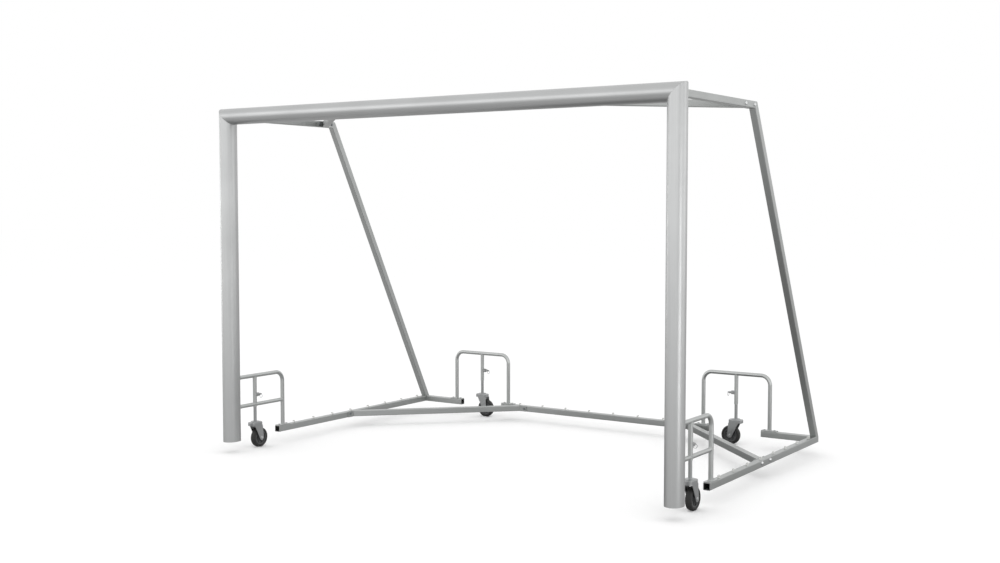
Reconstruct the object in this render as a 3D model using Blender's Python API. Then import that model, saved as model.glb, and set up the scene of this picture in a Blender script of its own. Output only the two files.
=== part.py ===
"""Freestanding aluminium soccer goal, 3 m by 2 m, standing on its four transport casters.

Metres, +Z up. The mouth faces -Y and the origin is on the ground under the middle of the goal.
Everything hangs under one empty, whose own origin lies midway between the post axes and level
with the underside of the base tubes, so the depths below are counted from the post axes.
"""

import bmesh
import bpy
from math import acos, atan2, cos, pi, radians, sin, sqrt
from mathutils import Vector

# Clearances: between neighbours that touch, and how deep a welded end sinks into its wall
SEAM_GAP = 0.0003
WELD_SINK = 0.0010

# Goal mouth, measured inside the posts and under the crossbar
MOUTH_WIDTH = 3.000
MOUTH_HEIGHT = 2.000

# Oval extrusion of the posts and the crossbar, with a net slot along its back
OVAL_ACROSS = 0.100
OVAL_DEPTH = 0.120
OVAL_WALL = 0.0030
OVAL_STEPS = 32
SLOT_MOUTH = 0.008
SLOT_LIP = 0.003
SLOT_CHAMBER = 0.013
SLOT_DEPTH = 0.012

# Square tube of the side frames, the base and the braces
TUBE = 0.040
TUBE_WALL = 0.0025
TUBE_CORNER = 0.004

# Side frames: outer faces from the middle of the goal, and depths behind the post axes
SIDE_FACE = 1.5625
TOP_DEPTH = 0.978
BASE_DEPTH = 2.0425
RUNNER_FRONT = 0.400

# Braces at 45 degrees: the top ones meet the arms just before the stays, and the floor ones
# meet the middle bar just inside the rear brackets
TOP_BRACE_SETBACK = 0.1005
FLOOR_BRACE_LANDING = 0.6875
BRACE_PLATE = 0.160
BRACE_PLATE_THICKNESS = 0.005
BRACE_VENT = 0.014

# Wheel brackets, bent from round tube and bolted to the base on foot plates; rises and drops,
# here and on the sleeve and the stem, are counted from the height of the index plunger
PLUNGER_HEIGHT = 0.272
BRACKET_TUBE = 0.0260
BRACKET_WALL = 0.0026
BRACKET_RISE = 0.139
BRACKET_BEND = 0.060
REAR_LEG_INNER = 0.779
REAR_LEG_SPACING = 0.465
LOWER_RAIL_TUBE = 0.0250
LOWER_RAIL_DROP = 0.061
RAIL_VENT = 0.005
FOOT_PLATE = 0.104
FOOT_PLATE_THICKNESS = 0.005
FOOT_BOLT_OFFSET = 0.034
FOOT_BOLT_HEAD = 0.0150
FOOT_BOLT_HEIGHT = 0.0060

# Sleeve on the bracket and the caster stem that slides in it
SLEEVE_TUBE = 0.0255
SLEEVE_DROP = 0.076
FRONT_SLEEVE_DEPTH = 0.198
STEM_TUBE = 0.0205
STEM_WALL = 0.0022
STEM_CLEARANCE = 0.0003
STEM_RISE = 0.028
STEM_TRAVEL = 0.072

# Index plunger: distances are counted from the stem axis
NOSE = 0.0060
NOSE_TIP = 0.0080
NOSE_CLEARANCE = 0.0003
HEX = 0.0220
HEX_END = 0.0340
NECK = 0.0150
NECK_END = 0.0480
CHAMBER = 0.0110
CHAMBER_START = 0.0175
CHAMBER_WALL = 0.0040
COLLAR = 0.0100
COLLAR_LENGTH = 0.0030
SHAFT = 0.0050
EYE = 0.0100
EYE_THICKNESS = 0.0040
EYE_STANDOFF = 0.0025
EYE_HOLE = 0.0044
PULL_RING = 0.0240
PULL_RING_WIRE = 0.0026
PULL_RING_PLAY = 0.0007
SPRING_MEAN = 0.0080
SPRING_WIRE = 0.0010
SPRING_TURNS = 4

# Casters: a wheel trailing behind the stem in a pressed fork
WHEEL = 0.125
WHEEL_WIDTH = 0.036
TRAIL = 0.034
GROUND_CLEARANCE = 0.071
CASTER_HEIGHT = 0.167
CROWN = 0.094
FORK_WIDTH = 0.053
FORK_SHEET = 0.003
FORK_EDGE = 0.005
FORK_CORNER = 0.008
SKIRT_HEIGHT = 0.023
BLADE_FRONT = 0.025
BLADE_REAR = 0.043
BLADE_END = 0.034

# Swivel head on the kingpin
RACE_CAP = 0.056
RACE_CAP_THICKNESS = 0.0045
KINGPIN = 0.0120
KINGPIN_CLEARANCE = 0.0004
RACE_CUP = 0.040
RACE_CUP_THICKNESS = 0.004
KINGPIN_NUT = 0.019
KINGPIN_NUT_HEIGHT = 0.007

# Wheel
TYRE_SEAT = 0.090
TYRE_SHOULDER = 0.009
TYRE_BEAD = 0.003
HUB_WIDTH = 0.0460
HUB_BOSS = 0.026
HUB_RIM = 0.006
HUB_WEB = 0.010
AXLE = 0.0080
AXLE_CLEARANCE = 0.0003
AXLE_HEAD = 0.0130
AXLE_HEAD_HEIGHT = 0.0032

# Net hooks, spread evenly along each base tube between its first and its last one
HOOK_COUNT = 8
HOOK_FROM_FRONT = 0.158
HOOK_FROM_CORNER = 0.130
HOOK_FROM_BAR_END = 0.1555
HOOK_WIDTH = 0.012
HOOK_HEIGHT = 0.016
HOOK_DEPTH = 0.016
HOOK_THICKNESS = 0.003
HOOK_LIP = 0.007
HOOK_CORNER = 0.004

# Facets
BEND_STEPS = 3
ROUND_STEPS = 12
SMALL_STEPS = 8
WHEEL_STEPS = 20
RING_STEPS = 14
RING_WIRE_STEPS = 5

# Linear colours of the finishes
ALUMINIUM = (0.52, 0.53, 0.53)
ZINC = (0.42, 0.42, 0.41)
RUBBER = (0.012, 0.012, 0.012)
HUB_GREY = (0.055, 0.055, 0.055)

# Places that follow from the sizes
POST_AXIS = MOUTH_WIDTH / 2 + OVAL_ACROSS / 2
BAR_AXIS = MOUTH_HEIGHT + OVAL_ACROSS / 2
SIDE_AXIS = SIDE_FACE - TUBE / 2
SIDE_INNER = SIDE_FACE - TUBE
REAR_AXIS = BASE_DEPTH - TUBE / 2
BASE_AXIS = TUBE / 2
FOOT_LEVEL = TUBE + SEAM_GAP
REAR_SLEEVE = REAR_LEG_INNER + REAR_LEG_SPACING / 2
TOP_BRACE_REACH = TOP_DEPTH - TOP_BRACE_SETBACK
FRONT_LEG_DEPTH = RUNNER_FRONT + FOOT_PLATE / 2
MIDDLE_BAR_END = REAR_LEG_INNER + FOOT_PLATE / 2
STUB_END = REAR_LEG_INNER + REAR_LEG_SPACING - FOOT_PLATE / 2
BRACKET_AXIS_TOP = PLUNGER_HEIGHT + BRACKET_RISE - BRACKET_TUBE / 2
LOWER_RAIL_HEIGHT = PLUNGER_HEIGHT - LOWER_RAIL_DROP
SLEEVE_BOTTOM = PLUNGER_HEIGHT - SLEEVE_DROP
STEM_TOP = PLUNGER_HEIGHT + STEM_RISE
SLEEVE_BORE = STEM_TUBE + 2 * STEM_CLEARANCE
CROWN_TOP = CASTER_HEIGHT - GROUND_CLEARANCE
AXLE_HEIGHT = WHEEL / 2 - GROUND_CLEARANCE
CHAMBER_END = NECK_END - CHAMBER_WALL
EYE_CENTRE = NECK_END + EYE_STANDOFF + EYE / 2

X = Vector((1, 0, 0))
Y = Vector((0, 1, 0))
Z = Vector((0, 0, 1))


def clear_scene():
    for obj in list(bpy.context.scene.objects):
        bpy.data.objects.remove(obj, do_unlink=True)


# Finishes


def finish(name, colour, metallic, roughness):
    found = bpy.data.materials.get(name)
    if found:
        return found
    made = bpy.data.materials.new(name)
    made.use_nodes = True
    shader = made.node_tree.nodes["Principled BSDF"]
    shader.inputs["Base Color"].default_value = (*colour, 1)
    shader.inputs["Metallic"].default_value = metallic
    shader.inputs["Roughness"].default_value = roughness
    return made


def aluminium():
    return finish("satin_aluminium", ALUMINIUM, 1.0, 0.45)


def zinc():
    return finish("zinc_plated_steel", ZINC, 1.0, 0.40)


def rubber():
    return finish("black_rubber", RUBBER, 0.0, 0.75)


def hub_plastic():
    return finish("grey_polyamide", HUB_GREY, 0.0, 0.50)


# Objects


def place(obj, parent, location=(0, 0, 0), rotation=(0, 0, 0)):
    obj.parent = parent
    obj.location = location
    obj.rotation_euler = rotation
    bpy.context.scene.collection.objects.link(obj)
    return obj


def axis_empty(name, parent, location=(0, 0, 0), heading=0.0):
    return place(bpy.data.objects.new(name, None), parent, location, (0, 0, heading))


def body(name, bm, mat, parent, location=(0, 0, 0), rotation=(0, 0, 0)):
    """Turn a closed bmesh into an object with outward faces and smooth round parts."""
    bmesh.ops.recalc_face_normals(bm, faces=bm.faces)
    mesh = bpy.data.meshes.new(name)
    bm.to_mesh(mesh)
    bm.free()
    mesh.shade_smooth()
    mesh.set_sharp_from_angle(angle=radians(35))
    mesh.materials.append(mat)
    return place(bpy.data.objects.new(name, mesh), parent, location, rotation)


def combine(obj, others, operation):
    """Join, cut or trim a piece with helper bodies, store the result and drop the helpers."""
    for other in others:
        other.hide_render = True
        other.display_type = "WIRE"
        modifier = obj.modifiers.new(operation.lower(), "BOOLEAN")
        modifier.operation = operation
        modifier.solver = "EXACT"
        modifier.object = other
    depsgraph = bpy.context.evaluated_depsgraph_get()
    depsgraph.update()
    result = bpy.data.meshes.new_from_object(obj.evaluated_get(depsgraph))
    obj.modifiers.clear()
    obj.data = result
    for other in others:
        bpy.data.objects.remove(other, do_unlink=True)


def weld(obj, others):
    combine(obj, others, "UNION")


def cut(obj, others):
    combine(obj, others, "DIFFERENCE")


def trim(obj, others):
    combine(obj, others, "INTERSECT")


def copy_of(obj, name, parent):
    """A repeated piece: its own object on the same mesh."""
    return place(bpy.data.objects.new(name, obj.data), parent, obj.location, obj.rotation_euler)


# Surfaces


def skin(bm, rings):
    """Stretch a surface over rings that have the same number of points."""
    rows = [[bm.verts.new(point) for point in ring] for ring in rings]
    for row, following in zip(rows, rows[1:]):
        join_rows(bm, row, following)
    return rows


def join_rows(bm, row, following):
    for k in range(len(row)):
        after = (k + 1) % len(row)
        bm.faces.new((row[k], row[after], following[after], following[k]))


def fill_flat(bm, rows):
    """Close a flat end between its outline and the outlines of its holes."""
    edges = []
    for row in rows:
        edges += [bm.edges.get((row[k - 1], row[k])) for k in range(len(row))]
    bmesh.ops.triangle_fill(bm, use_beauty=True, edges=edges)


def solid(name, rings, mat, parent, **placing):
    bm = bmesh.new()
    rows = skin(bm, rings)
    bm.faces.new(rows[0])
    bm.faces.new(rows[-1])
    return body(name, bm, mat, parent, **placing)


def hollow(name, outer, inner, mat, parent, **placing):
    """A tube whose outer and inner rings have the same number of points."""
    bm = bmesh.new()
    outside = skin(bm, outer)
    inside = skin(bm, inner)
    join_rows(bm, outside[0], inside[0])
    join_rows(bm, outside[-1], inside[-1])
    return body(name, bm, mat, parent, **placing)


def flat_ended(name, outer, inner, mat, parent, **placing):
    """A tube with flat ends, whose outlines may differ in their number of points."""
    bm = bmesh.new()
    outside = skin(bm, outer)
    inside = skin(bm, inner)
    fill_flat(bm, (outside[0], inside[0]))
    fill_flat(bm, (outside[-1], inside[-1]))
    return body(name, bm, mat, parent, **placing)


def lathe(name, profile, steps, mat, parent, **placing):
    """Turn a profile of (radius, height) points about Z; it ends on the axis or closes on itself."""
    bm = bmesh.new()
    columns = []
    for k in range(steps):
        angle = 2 * pi * (k + 0.5) / steps
        columns.append([bm.verts.new((r * cos(angle), r * sin(angle), h)) for r, h in profile if r > 0])
    poles = [bm.verts.new((0, 0, h)) for r, h in profile if r == 0]
    for column, following in zip(columns, columns[1:] + columns[:1]):
        for low in range(len(column) - 1):
            bm.faces.new((column[low], following[low], following[low + 1], column[low + 1]))
        if poles:
            bm.faces.new((poles[0], following[0], column[0]))
            bm.faces.new((poles[-1], column[-1], following[-1]))
        else:
            bm.faces.new((column[-1], following[-1], following[0], column[0]))
    return body(name, bm, mat, parent, **placing)


def prism(name, outline, start, across, up, along, mat, parent, holes=()):
    """Extrude an outline with holes from the point start by the vector along."""
    bm = bmesh.new()
    ends = ([], [])
    for loop in (outline, *holes):
        near = [start + across * u + up * v for u, v in loop]
        rows = skin(bm, (near, [point + along for point in near]))
        ends[0].append(rows[0])
        ends[1].append(rows[1])
    fill_flat(bm, ends[0])
    fill_flat(bm, ends[1])
    return body(name, bm, mat, parent)


# Outlines, as closed loops of (across, up) points


def circle(diameter, steps=ROUND_STEPS, turn=0.0):
    """A round outline; turn shifts its points by a part of a step."""
    angles = [2 * pi * (k + turn) / steps for k in range(steps)]
    return [(diameter / 2 * cos(angle), diameter / 2 * sin(angle)) for angle in angles]


def hexagon(flats, steps=ROUND_STEPS):
    """A hexagon on the same angles as a circle of as many steps, so that the two join up."""
    loop = []
    for k in range(steps):
        angle = 2 * pi * k / steps
        radius = flats / 2 / cos((angle + pi / 6) % (pi / 3) - pi / 6)
        loop.append((radius * cos(angle), radius * sin(angle)))
    return loop


def arc(centre, radius, start, end, steps):
    turns = [start + (end - start) * k / steps for k in range(steps + 1)]
    return [(centre[0] + radius * cos(turn), centre[1] + radius * sin(turn)) for turn in turns]


def rounded_rectangle(width, height, corner, corner_steps=2):
    loop = []
    for quarter, (right, top) in enumerate(((1, 1), (-1, 1), (-1, -1), (1, -1))):
        centre = (right * (width / 2 - corner), top * (height / 2 - corner))
        loop += arc(centre, corner, quarter * pi / 2, (quarter + 1) * pi / 2, corner_steps)
    return loop


def tube_section():
    """Outer and inner outline of the square tube."""
    inner = TUBE - 2 * TUBE_WALL
    return (
        rounded_rectangle(TUBE, TUBE, TUBE_CORNER),
        rounded_rectangle(inner, inner, TUBE_CORNER - TUBE_WALL),
    )


def oval_arc(across, depth, opening):
    """The oval from one edge of an opening at its back, round the front, to the other edge."""
    edge = acos(opening / across)
    turns = [pi - edge + (pi + 2 * edge) * k / OVAL_STEPS for k in range(OVAL_STEPS + 1)]
    return [(across / 2 * cos(turn), depth / 2 * sin(turn)) for turn in turns]


def oval_section():
    """Outer outline with its net slot, and the cavity that leaves a wall round the slot."""
    outer = oval_arc(OVAL_ACROSS, OVAL_DEPTH, SLOT_MOUTH)
    back = outer[0][1]
    mouth, chamber = SLOT_MOUTH / 2, SLOT_CHAMBER / 2
    lip, floor = back - SLOT_LIP, back - SLOT_DEPTH
    slot = [(mouth, lip), (chamber, lip), (chamber, floor)]
    outer += slot + [(-u, v) for u, v in reversed(slot)]
    wall = chamber + OVAL_WALL
    inner = oval_arc(OVAL_ACROSS - 2 * OVAL_WALL, OVAL_DEPTH - 2 * OVAL_WALL, 2 * wall)
    inner += [(wall, floor - OVAL_WALL), (-wall, floor - OVAL_WALL)]
    return outer, inner


# Straight members: every line of the section runs along the member until a cut stops it


def square_cut(point, line):
    """The member ends square, where its section was placed."""
    return 0.0


def plane_cut(origin, normal):
    """The member is sawn off at a plane."""
    return lambda point, line: (origin - point).dot(normal) / line.dot(normal)


def saddle_cut(origin, axis, radius, side):
    """The member is notched to sit on a round tube: side is -1 before its axis and 1 behind it."""

    def reach(point, line):
        offset = point - origin
        offset = offset - axis * offset.dot(axis)
        middle = -offset.dot(line)
        miss = offset + line * middle
        return middle + side * sqrt(max(radius * radius - miss.length_squared, 0.0))

    return reach


def section_ring(loop, origin, across, up, line, reach):
    ring = []
    for u, v in loop:
        point = origin + across * u + up * v
        ring.append(point + line * reach(point, line))
    return ring


def member(name, section, origin, across, up, line, start, end, parent, make=hollow):
    """A straight tube of a section placed at origin, running along line between two cuts."""
    cuts = (start, end)
    outer, inner = ([section_ring(loop, origin, across, up, line, at) for at in cuts] for loop in section)
    return make(name, outer, inner, aluminium(), parent)


def mitre(corner, arriving, leaving, shift):
    """The plane that halves a corner, moved back along the arriving member by half a seam."""
    normal = (arriving + leaving).normalized()
    return plane_cut(corner + normal * shift * SEAM_GAP / 2, normal)


# Goal frame


def oval_back(offset):
    """How far the back of the oval stands behind its axis, at an offset from its middle."""
    return OVAL_DEPTH / 2 * sqrt(1 - (2 * offset / OVAL_ACROSS) ** 2)


def build_crossbar(goal):
    left = Vector((-POST_AXIS, 0, BAR_AXIS))
    right = Vector((POST_AXIS, 0, BAR_AXIS))
    return member(
        "crossbar", oval_section(), Vector((0, 0, BAR_AXIS)), Z, Y, X,
        mitre(left, Z, X, 1), mitre(right, X, -Z, -1), goal, flat_ended,
    )


def build_post(goal, name, side):
    corner = Vector((side * POST_AXIS, 0, BAR_AXIS))
    foot = Vector((side * POST_AXIS, 0, 0))
    return member(
        name, oval_section(), foot, X, Y, Z,
        square_cut, mitre(corner, Z, X * -side, -1), goal, flat_ended,
    )


def corner_form(goal, side):
    """The outside of the mitred corner of post and crossbar, larger by a seam all round."""
    loop = oval_arc(OVAL_ACROSS + 2 * SEAM_GAP, OVAL_DEPTH + 2 * SEAM_GAP, SLOT_MOUTH)
    corner = Vector((side * POST_AXIS, 0, BAR_AXIS))
    low = [corner + Vector((side * u, v, -OVAL_ACROSS)) for u, v in loop]
    turn = [corner + Vector((side * u, v, u)) for u, v in loop]
    far = [corner + Vector((-side * OVAL_ACROSS, v, u)) for u, v in loop]
    return solid("corner_form", (low, turn, far), aluminium(), goal)


# Side frames and base


def stay_line():
    """Direction of the sloping stay: from the rear top edge of the arm to the rear top edge of the base."""
    top = Vector((0, TOP_DEPTH, BAR_AXIS + TUBE / 2))
    foot = Vector((0, BASE_DEPTH, TUBE))
    return (foot - top).normalized()


def stay_corner(side):
    """Where the centre lines of arm and stay meet."""
    slope = stay_line()
    inward = Vector((0, slope.z, -slope.y))
    on_stay = Vector((side * SIDE_AXIS, TOP_DEPTH, BAR_AXIS + TUBE / 2)) + inward * TUBE / 2
    return on_stay + slope * ((BAR_AXIS - on_stay.z) / slope.z)


def build_top_arm(goal, name, side):
    """The arm is coped to sit against the back of the mitred corner."""
    corner = stay_corner(side)
    origin = Vector((side * SIDE_AXIS, OVAL_DEPTH / 4, BAR_AXIS))
    arm = member(
        name, tube_section(), origin, X, Z, Y, square_cut, mitre(corner, Y, stay_line(), -1), goal,
    )
    cut(arm, [corner_form(goal, side)])
    return arm


def build_rear_stay(goal, name, side):
    corner = stay_corner(side)
    slope = stay_line()
    up = Vector((0, slope.z, -slope.y))
    on_base = plane_cut(Vector((0, 0, FOOT_LEVEL)), Z)
    return member(name, tube_section(), corner, X, up, slope, mitre(corner, Y, slope, 1), on_base, goal)


def build_side_runner(goal, name, side):
    front = Vector((side * SIDE_AXIS, RUNNER_FRONT, BASE_AXIS))
    corner = Vector((side * SIDE_AXIS, REAR_AXIS, BASE_AXIS))
    runner = member(
        name, tube_section(), front, X, Z, Y, square_cut, mitre(corner, Y, X * -side, -1), goal,
    )
    first = Vector((side * SIDE_AXIS, RUNNER_FRONT + HOOK_FROM_FRONT, TUBE))
    last = Vector((side * SIDE_AXIS, BASE_DEPTH - HOOK_FROM_CORNER, TUBE))
    weld(runner, [build_net_hook(goal, spot, X * side, Y) for spot in hook_spots(first, last)])
    return runner


def build_rear_stub(goal, name, side):
    corner = Vector((side * SIDE_AXIS, REAR_AXIS, BASE_AXIS))
    end = Vector((side * STUB_END, REAR_AXIS, BASE_AXIS))
    return member(
        name, tube_section(), end, Y, Z, X * side, square_cut, mitre(corner, X * side, -Y, -1), goal,
    )


def build_middle_bar(goal):
    left = Vector((-MIDDLE_BAR_END, REAR_AXIS, BASE_AXIS))
    end = plane_cut(Vector((MIDDLE_BAR_END, 0, 0)), X)
    bar = member("middle_rear_bar", tube_section(), left, Y, Z, X, square_cut, end, goal)
    first = Vector((HOOK_FROM_BAR_END - MIDDLE_BAR_END, REAR_AXIS, TUBE))
    last = Vector((MIDDLE_BAR_END - HOOK_FROM_BAR_END, REAR_AXIS, TUBE))
    weld(bar, [build_net_hook(goal, spot, Y, X) for spot in hook_spots(first, last)])
    return bar


def hook_spots(first, last):
    return [first.lerp(last, k / (HOOK_COUNT - 1)) for k in range(HOOK_COUNT)]


def build_net_hook(goal, foot, outward, along):
    """An arch with its stem on the tube and a lip that comes down outside the net cord."""
    half = HOOK_DEPTH / 2
    inner = half - HOOK_THICKNESS
    under = HOOK_HEIGHT - HOOK_THICKNESS
    outline = [
        (-half, -WELD_SINK),
        (-inner, -WELD_SINK),
        (-inner, under),
        (inner, under),
        (inner, HOOK_HEIGHT - HOOK_LIP),
        (half, HOOK_HEIGHT - HOOK_LIP),
        (half, HOOK_HEIGHT - HOOK_CORNER),
        (half - HOOK_CORNER, HOOK_HEIGHT),
        (HOOK_CORNER - half, HOOK_HEIGHT),
        (-half, HOOK_HEIGHT - HOOK_CORNER),
    ]
    start = foot - along * HOOK_WIDTH / 2
    return prism("net_hook", outline, start, outward, Z, along * HOOK_WIDTH, aluminium(), goal)


# Braces: square tube at 45 degrees between two bolted end plates


def brace_plate(goal, centre, along, up, outward):
    """A flat end plate with a vent hole in its middle; outward points at the member it bolts to."""
    outline = rounded_rectangle(BRACE_PLATE, TUBE, TUBE_CORNER, corner_steps=1)
    start = centre - outward * BRACE_PLATE_THICKNESS
    vent = circle(BRACE_VENT, SMALL_STEPS)
    through = outward * BRACE_PLATE_THICKNESS
    return prism("plate", outline, start, along, up, through, aluminium(), goal, [vent])


def saddle_plate(goal, centre):
    """An end plate whose front follows the back of the crossbar."""
    steps = 6
    heights = [TUBE * (k / steps - 0.5) for k in range(steps + 1)]
    back = OVAL_DEPTH / 2 + SEAM_GAP + BRACE_PLATE_THICKNESS
    outline = [(oval_back(height) + SEAM_GAP, height) for height in heights]
    outline += [(back, TUBE / 2), (back, -TUBE / 2)]
    start = Vector((centre - BRACE_PLATE / 2, 0, BAR_AXIS))
    return prism("plate", outline, start, Y, Z, X * BRACE_PLATE, aluminium(), goal)


def build_floor_brace(goal, name, side):
    """Joins the inner face of a side runner to the front face of the middle rear bar."""
    line = Vector((-side, 1, 0)).normalized()
    runner_face = side * (SIDE_INNER - SEAM_GAP)
    bar_face = REAR_AXIS - TUBE / 2 - SEAM_GAP
    landing = Vector((side * FLOOR_BRACE_LANDING, bar_face, BASE_AXIS))
    origin = landing + line * (runner_face - landing.x) / line.x
    sunk = BRACE_PLATE_THICKNESS - WELD_SINK
    start = plane_cut(origin - X * side * sunk, X)
    end = plane_cut(landing - Y * sunk, Y)
    brace = member(name, tube_section(), origin, Z.cross(line), Z, line, start, end, goal)
    plates = [brace_plate(goal, origin, Y, Z, X * side), brace_plate(goal, landing, X, Z, Y)]
    weld(brace, plates)
    return brace


def build_top_brace(goal, name, side):
    """Joins the inner face of a top arm to the back of the crossbar."""
    line = Vector((-side, -1, 0)).normalized()
    arm_face = side * (SIDE_INNER - SEAM_GAP)
    plate_back = OVAL_DEPTH / 2 + SEAM_GAP + BRACE_PLATE_THICKNESS
    origin = Vector((arm_face, TOP_BRACE_REACH, BAR_AXIS))
    landing = origin + line * (plate_back - TOP_BRACE_REACH) / line.y
    start = plane_cut(origin - X * side * (BRACE_PLATE_THICKNESS - WELD_SINK), X)
    end = plane_cut(landing - Y * WELD_SINK, Y)
    brace = member(name, tube_section(), origin, Z.cross(line), Z, line, start, end, goal)
    weld(brace, [brace_plate(goal, origin, Y, Z, X * side), saddle_plate(goal, landing.x)])
    return brace


# Wheel brackets, built about the sleeve axis with the plunger side along +X


def bent_rings(corners, bend, section, start, end):
    """Carry a round section along straight runs in the XZ plane that are joined by equal bends."""
    stations = [(corners[0], (corners[1] - corners[0]).normalized())]
    for before, corner, after in zip(corners, corners[1:], corners[2:]):
        arriving = (corner - before).normalized()
        leaving = (after - corner).normalized()
        turn = arriving.angle(leaving)
        entry = corner - arriving * bend
        centre = entry + leaving * bend
        for step in range(BEND_STEPS + 1):
            angle = turn * step / BEND_STEPS
            tangent = arriving * cos(angle) + leaving * sin(angle)
            stations.append((centre - leaving * bend * cos(angle) + arriving * bend * sin(angle), tangent))
    stations.append((corners[-1], (corners[-1] - corners[-2]).normalized()))
    cuts = [start] + [square_cut] * (len(stations) - 2) + [end]
    return [
        section_ring(section, point, Y, tangent.cross(Y), tangent, reach)
        for (point, tangent), reach in zip(stations, cuts)
    ]


def bent_tube(name, corners, start, end, parent):
    bore = BRACKET_TUBE - 2 * BRACKET_WALL
    outer = bent_rings(corners, BRACKET_BEND, circle(BRACKET_TUBE, turn=0.5), start, end)
    inner = bent_rings(corners, BRACKET_BEND, circle(bore, turn=0.5), start, end)
    return hollow(name, outer, inner, aluminium(), parent)


def foot_plate(centre, parent):
    """A plate under a bracket leg, open in its middle where the leg is welded in."""
    outline = rounded_rectangle(FOOT_PLATE, TUBE, TUBE_CORNER, corner_steps=1)
    opening = circle(BRACKET_TUBE - BRACKET_WALL)
    start = Vector((centre, 0, FOOT_LEVEL))
    return prism("plate", outline, start, X, Y, Z * FOOT_PLATE_THICKNESS, aluminium(), parent, [opening])


def bolt_head(x, y, level, parent):
    """A low domed head that grows out of the surface it clamps."""
    radius = FOOT_BOLT_HEAD / 2
    shoulder = FOOT_BOLT_HEIGHT / 2
    profile = [(0, -WELD_SINK), (radius, -WELD_SINK), (radius, shoulder), (0, FOOT_BOLT_HEIGHT)]
    return lathe("bolt", profile, SMALL_STEPS, aluminium(), parent, location=(x, y, level))


def sleeve(parent):
    """The guide tube that hangs from the top rail, notched to sit under it."""
    rail = Vector((0, 0, BRACKET_AXIS_TOP))
    seat = saddle_cut(rail, X, BRACKET_TUBE / 2 - WELD_SINK, -1)
    section = (circle(SLEEVE_TUBE, turn=0.5), circle(SLEEVE_BORE, turn=0.5))
    origin = Vector((0, 0, SLEEVE_BOTTOM))
    return member("sleeve", section, origin, X, Y, Z, square_cut, seat, parent)


def plunger_hole(parent):
    """The hole through one wall of the sleeve for the nose of the plunger."""
    loop = circle(NOSE + 2 * NOSE_CLEARANCE, turn=0.5)
    start = Vector((0, 0, PLUNGER_HEIGHT))
    return prism("hole", loop, start, Y, Z, X * SLEEVE_TUBE, aluminium(), parent)



def finish_bracket(bracket, legs, parent, rails=(), holes=()):
    """Weld on the rails, the sleeve and the bolted foot plates, then drill the holes."""
    level = FOOT_LEVEL + FOOT_PLATE_THICKNESS
    plates = [foot_plate(leg, parent) for leg in legs]
    offsets = (-FOOT_BOLT_OFFSET, FOOT_BOLT_OFFSET)
    bolts = [bolt_head(leg + offset, 0, level, parent) for leg in legs for offset in offsets]
    weld(bracket, [sleeve(parent), *rails, *plates, *bolts])
    cut(bracket, [plunger_hole(parent), *holes])
    return bracket


def rail_vent(parent, distance):
    """A drain hole under the rail that is closed by welds at both ends."""
    start = Vector((distance, 0, LOWER_RAIL_HEIGHT - LOWER_RAIL_TUBE))
    loop = circle(RAIL_VENT, SMALL_STEPS)
    return prism("hole", loop, start, X, Y, Z * LOWER_RAIL_TUBE, aluminium(), parent)


def build_rear_bracket(parent, name):
    half = REAR_LEG_SPACING / 2
    foot = FOOT_LEVEL + WELD_SINK
    corners = [
        Vector((-half, 0, foot)),
        Vector((-half, 0, BRACKET_AXIS_TOP)),
        Vector((half, 0, BRACKET_AXIS_TOP)),
        Vector((half, 0, foot)),
    ]
    bracket = bent_tube(name, corners, square_cut, square_cut, parent)
    return finish_bracket(bracket, (-half, half), parent)


def build_front_bracket(parent, name, side):
    """The front bracket grows out of the back of a post and has a second, lower rail."""
    leg = FRONT_LEG_DEPTH - FRONT_SLEEVE_DEPTH
    shift = side * (SIDE_AXIS - POST_AXIS)

    def on_post(point, line):
        return oval_back(point.y - shift) + SEAM_GAP

    corners = [
        Vector((-FRONT_SLEEVE_DEPTH, 0, BRACKET_AXIS_TOP)),
        Vector((leg, 0, BRACKET_AXIS_TOP)),
        Vector((leg, 0, FOOT_LEVEL + WELD_SINK)),
    ]
    bracket = bent_tube(name, corners, on_post, square_cut, parent)
    rails = lower_rails(parent, leg, on_post)
    return finish_bracket(bracket, (leg,), parent, rails, [rail_vent(parent, leg / 2)])


def lower_rails(parent, leg, on_post):
    """Two short rails, from the post to the sleeve and from the sleeve to the leg."""
    bore = LOWER_RAIL_TUBE - 2 * BRACKET_WALL
    section = (circle(LOWER_RAIL_TUBE, turn=0.5), circle(bore, turn=0.5))
    post = Vector((-FRONT_SLEEVE_DEPTH, 0, LOWER_RAIL_HEIGHT))
    middle = Vector((0, 0, LOWER_RAIL_HEIGHT))
    sunk = WELD_SINK
    before_sleeve = saddle_cut(middle, Z, SLEEVE_TUBE / 2 - sunk, -1)
    behind_sleeve = saddle_cut(middle, Z, SLEEVE_TUBE / 2 - sunk, 1)
    at_leg = saddle_cut(middle + X * leg, Z, BRACKET_TUBE / 2 - sunk, -1)
    return [
        member("rail", section, post, Y, Z, X, on_post, before_sleeve, parent),
        member("rail", section, middle, Y, Z, X, behind_sleeve, at_leg, parent),
    ]


# Caster corner, built about the stem axis with the trail and the plunger along +X


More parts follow.
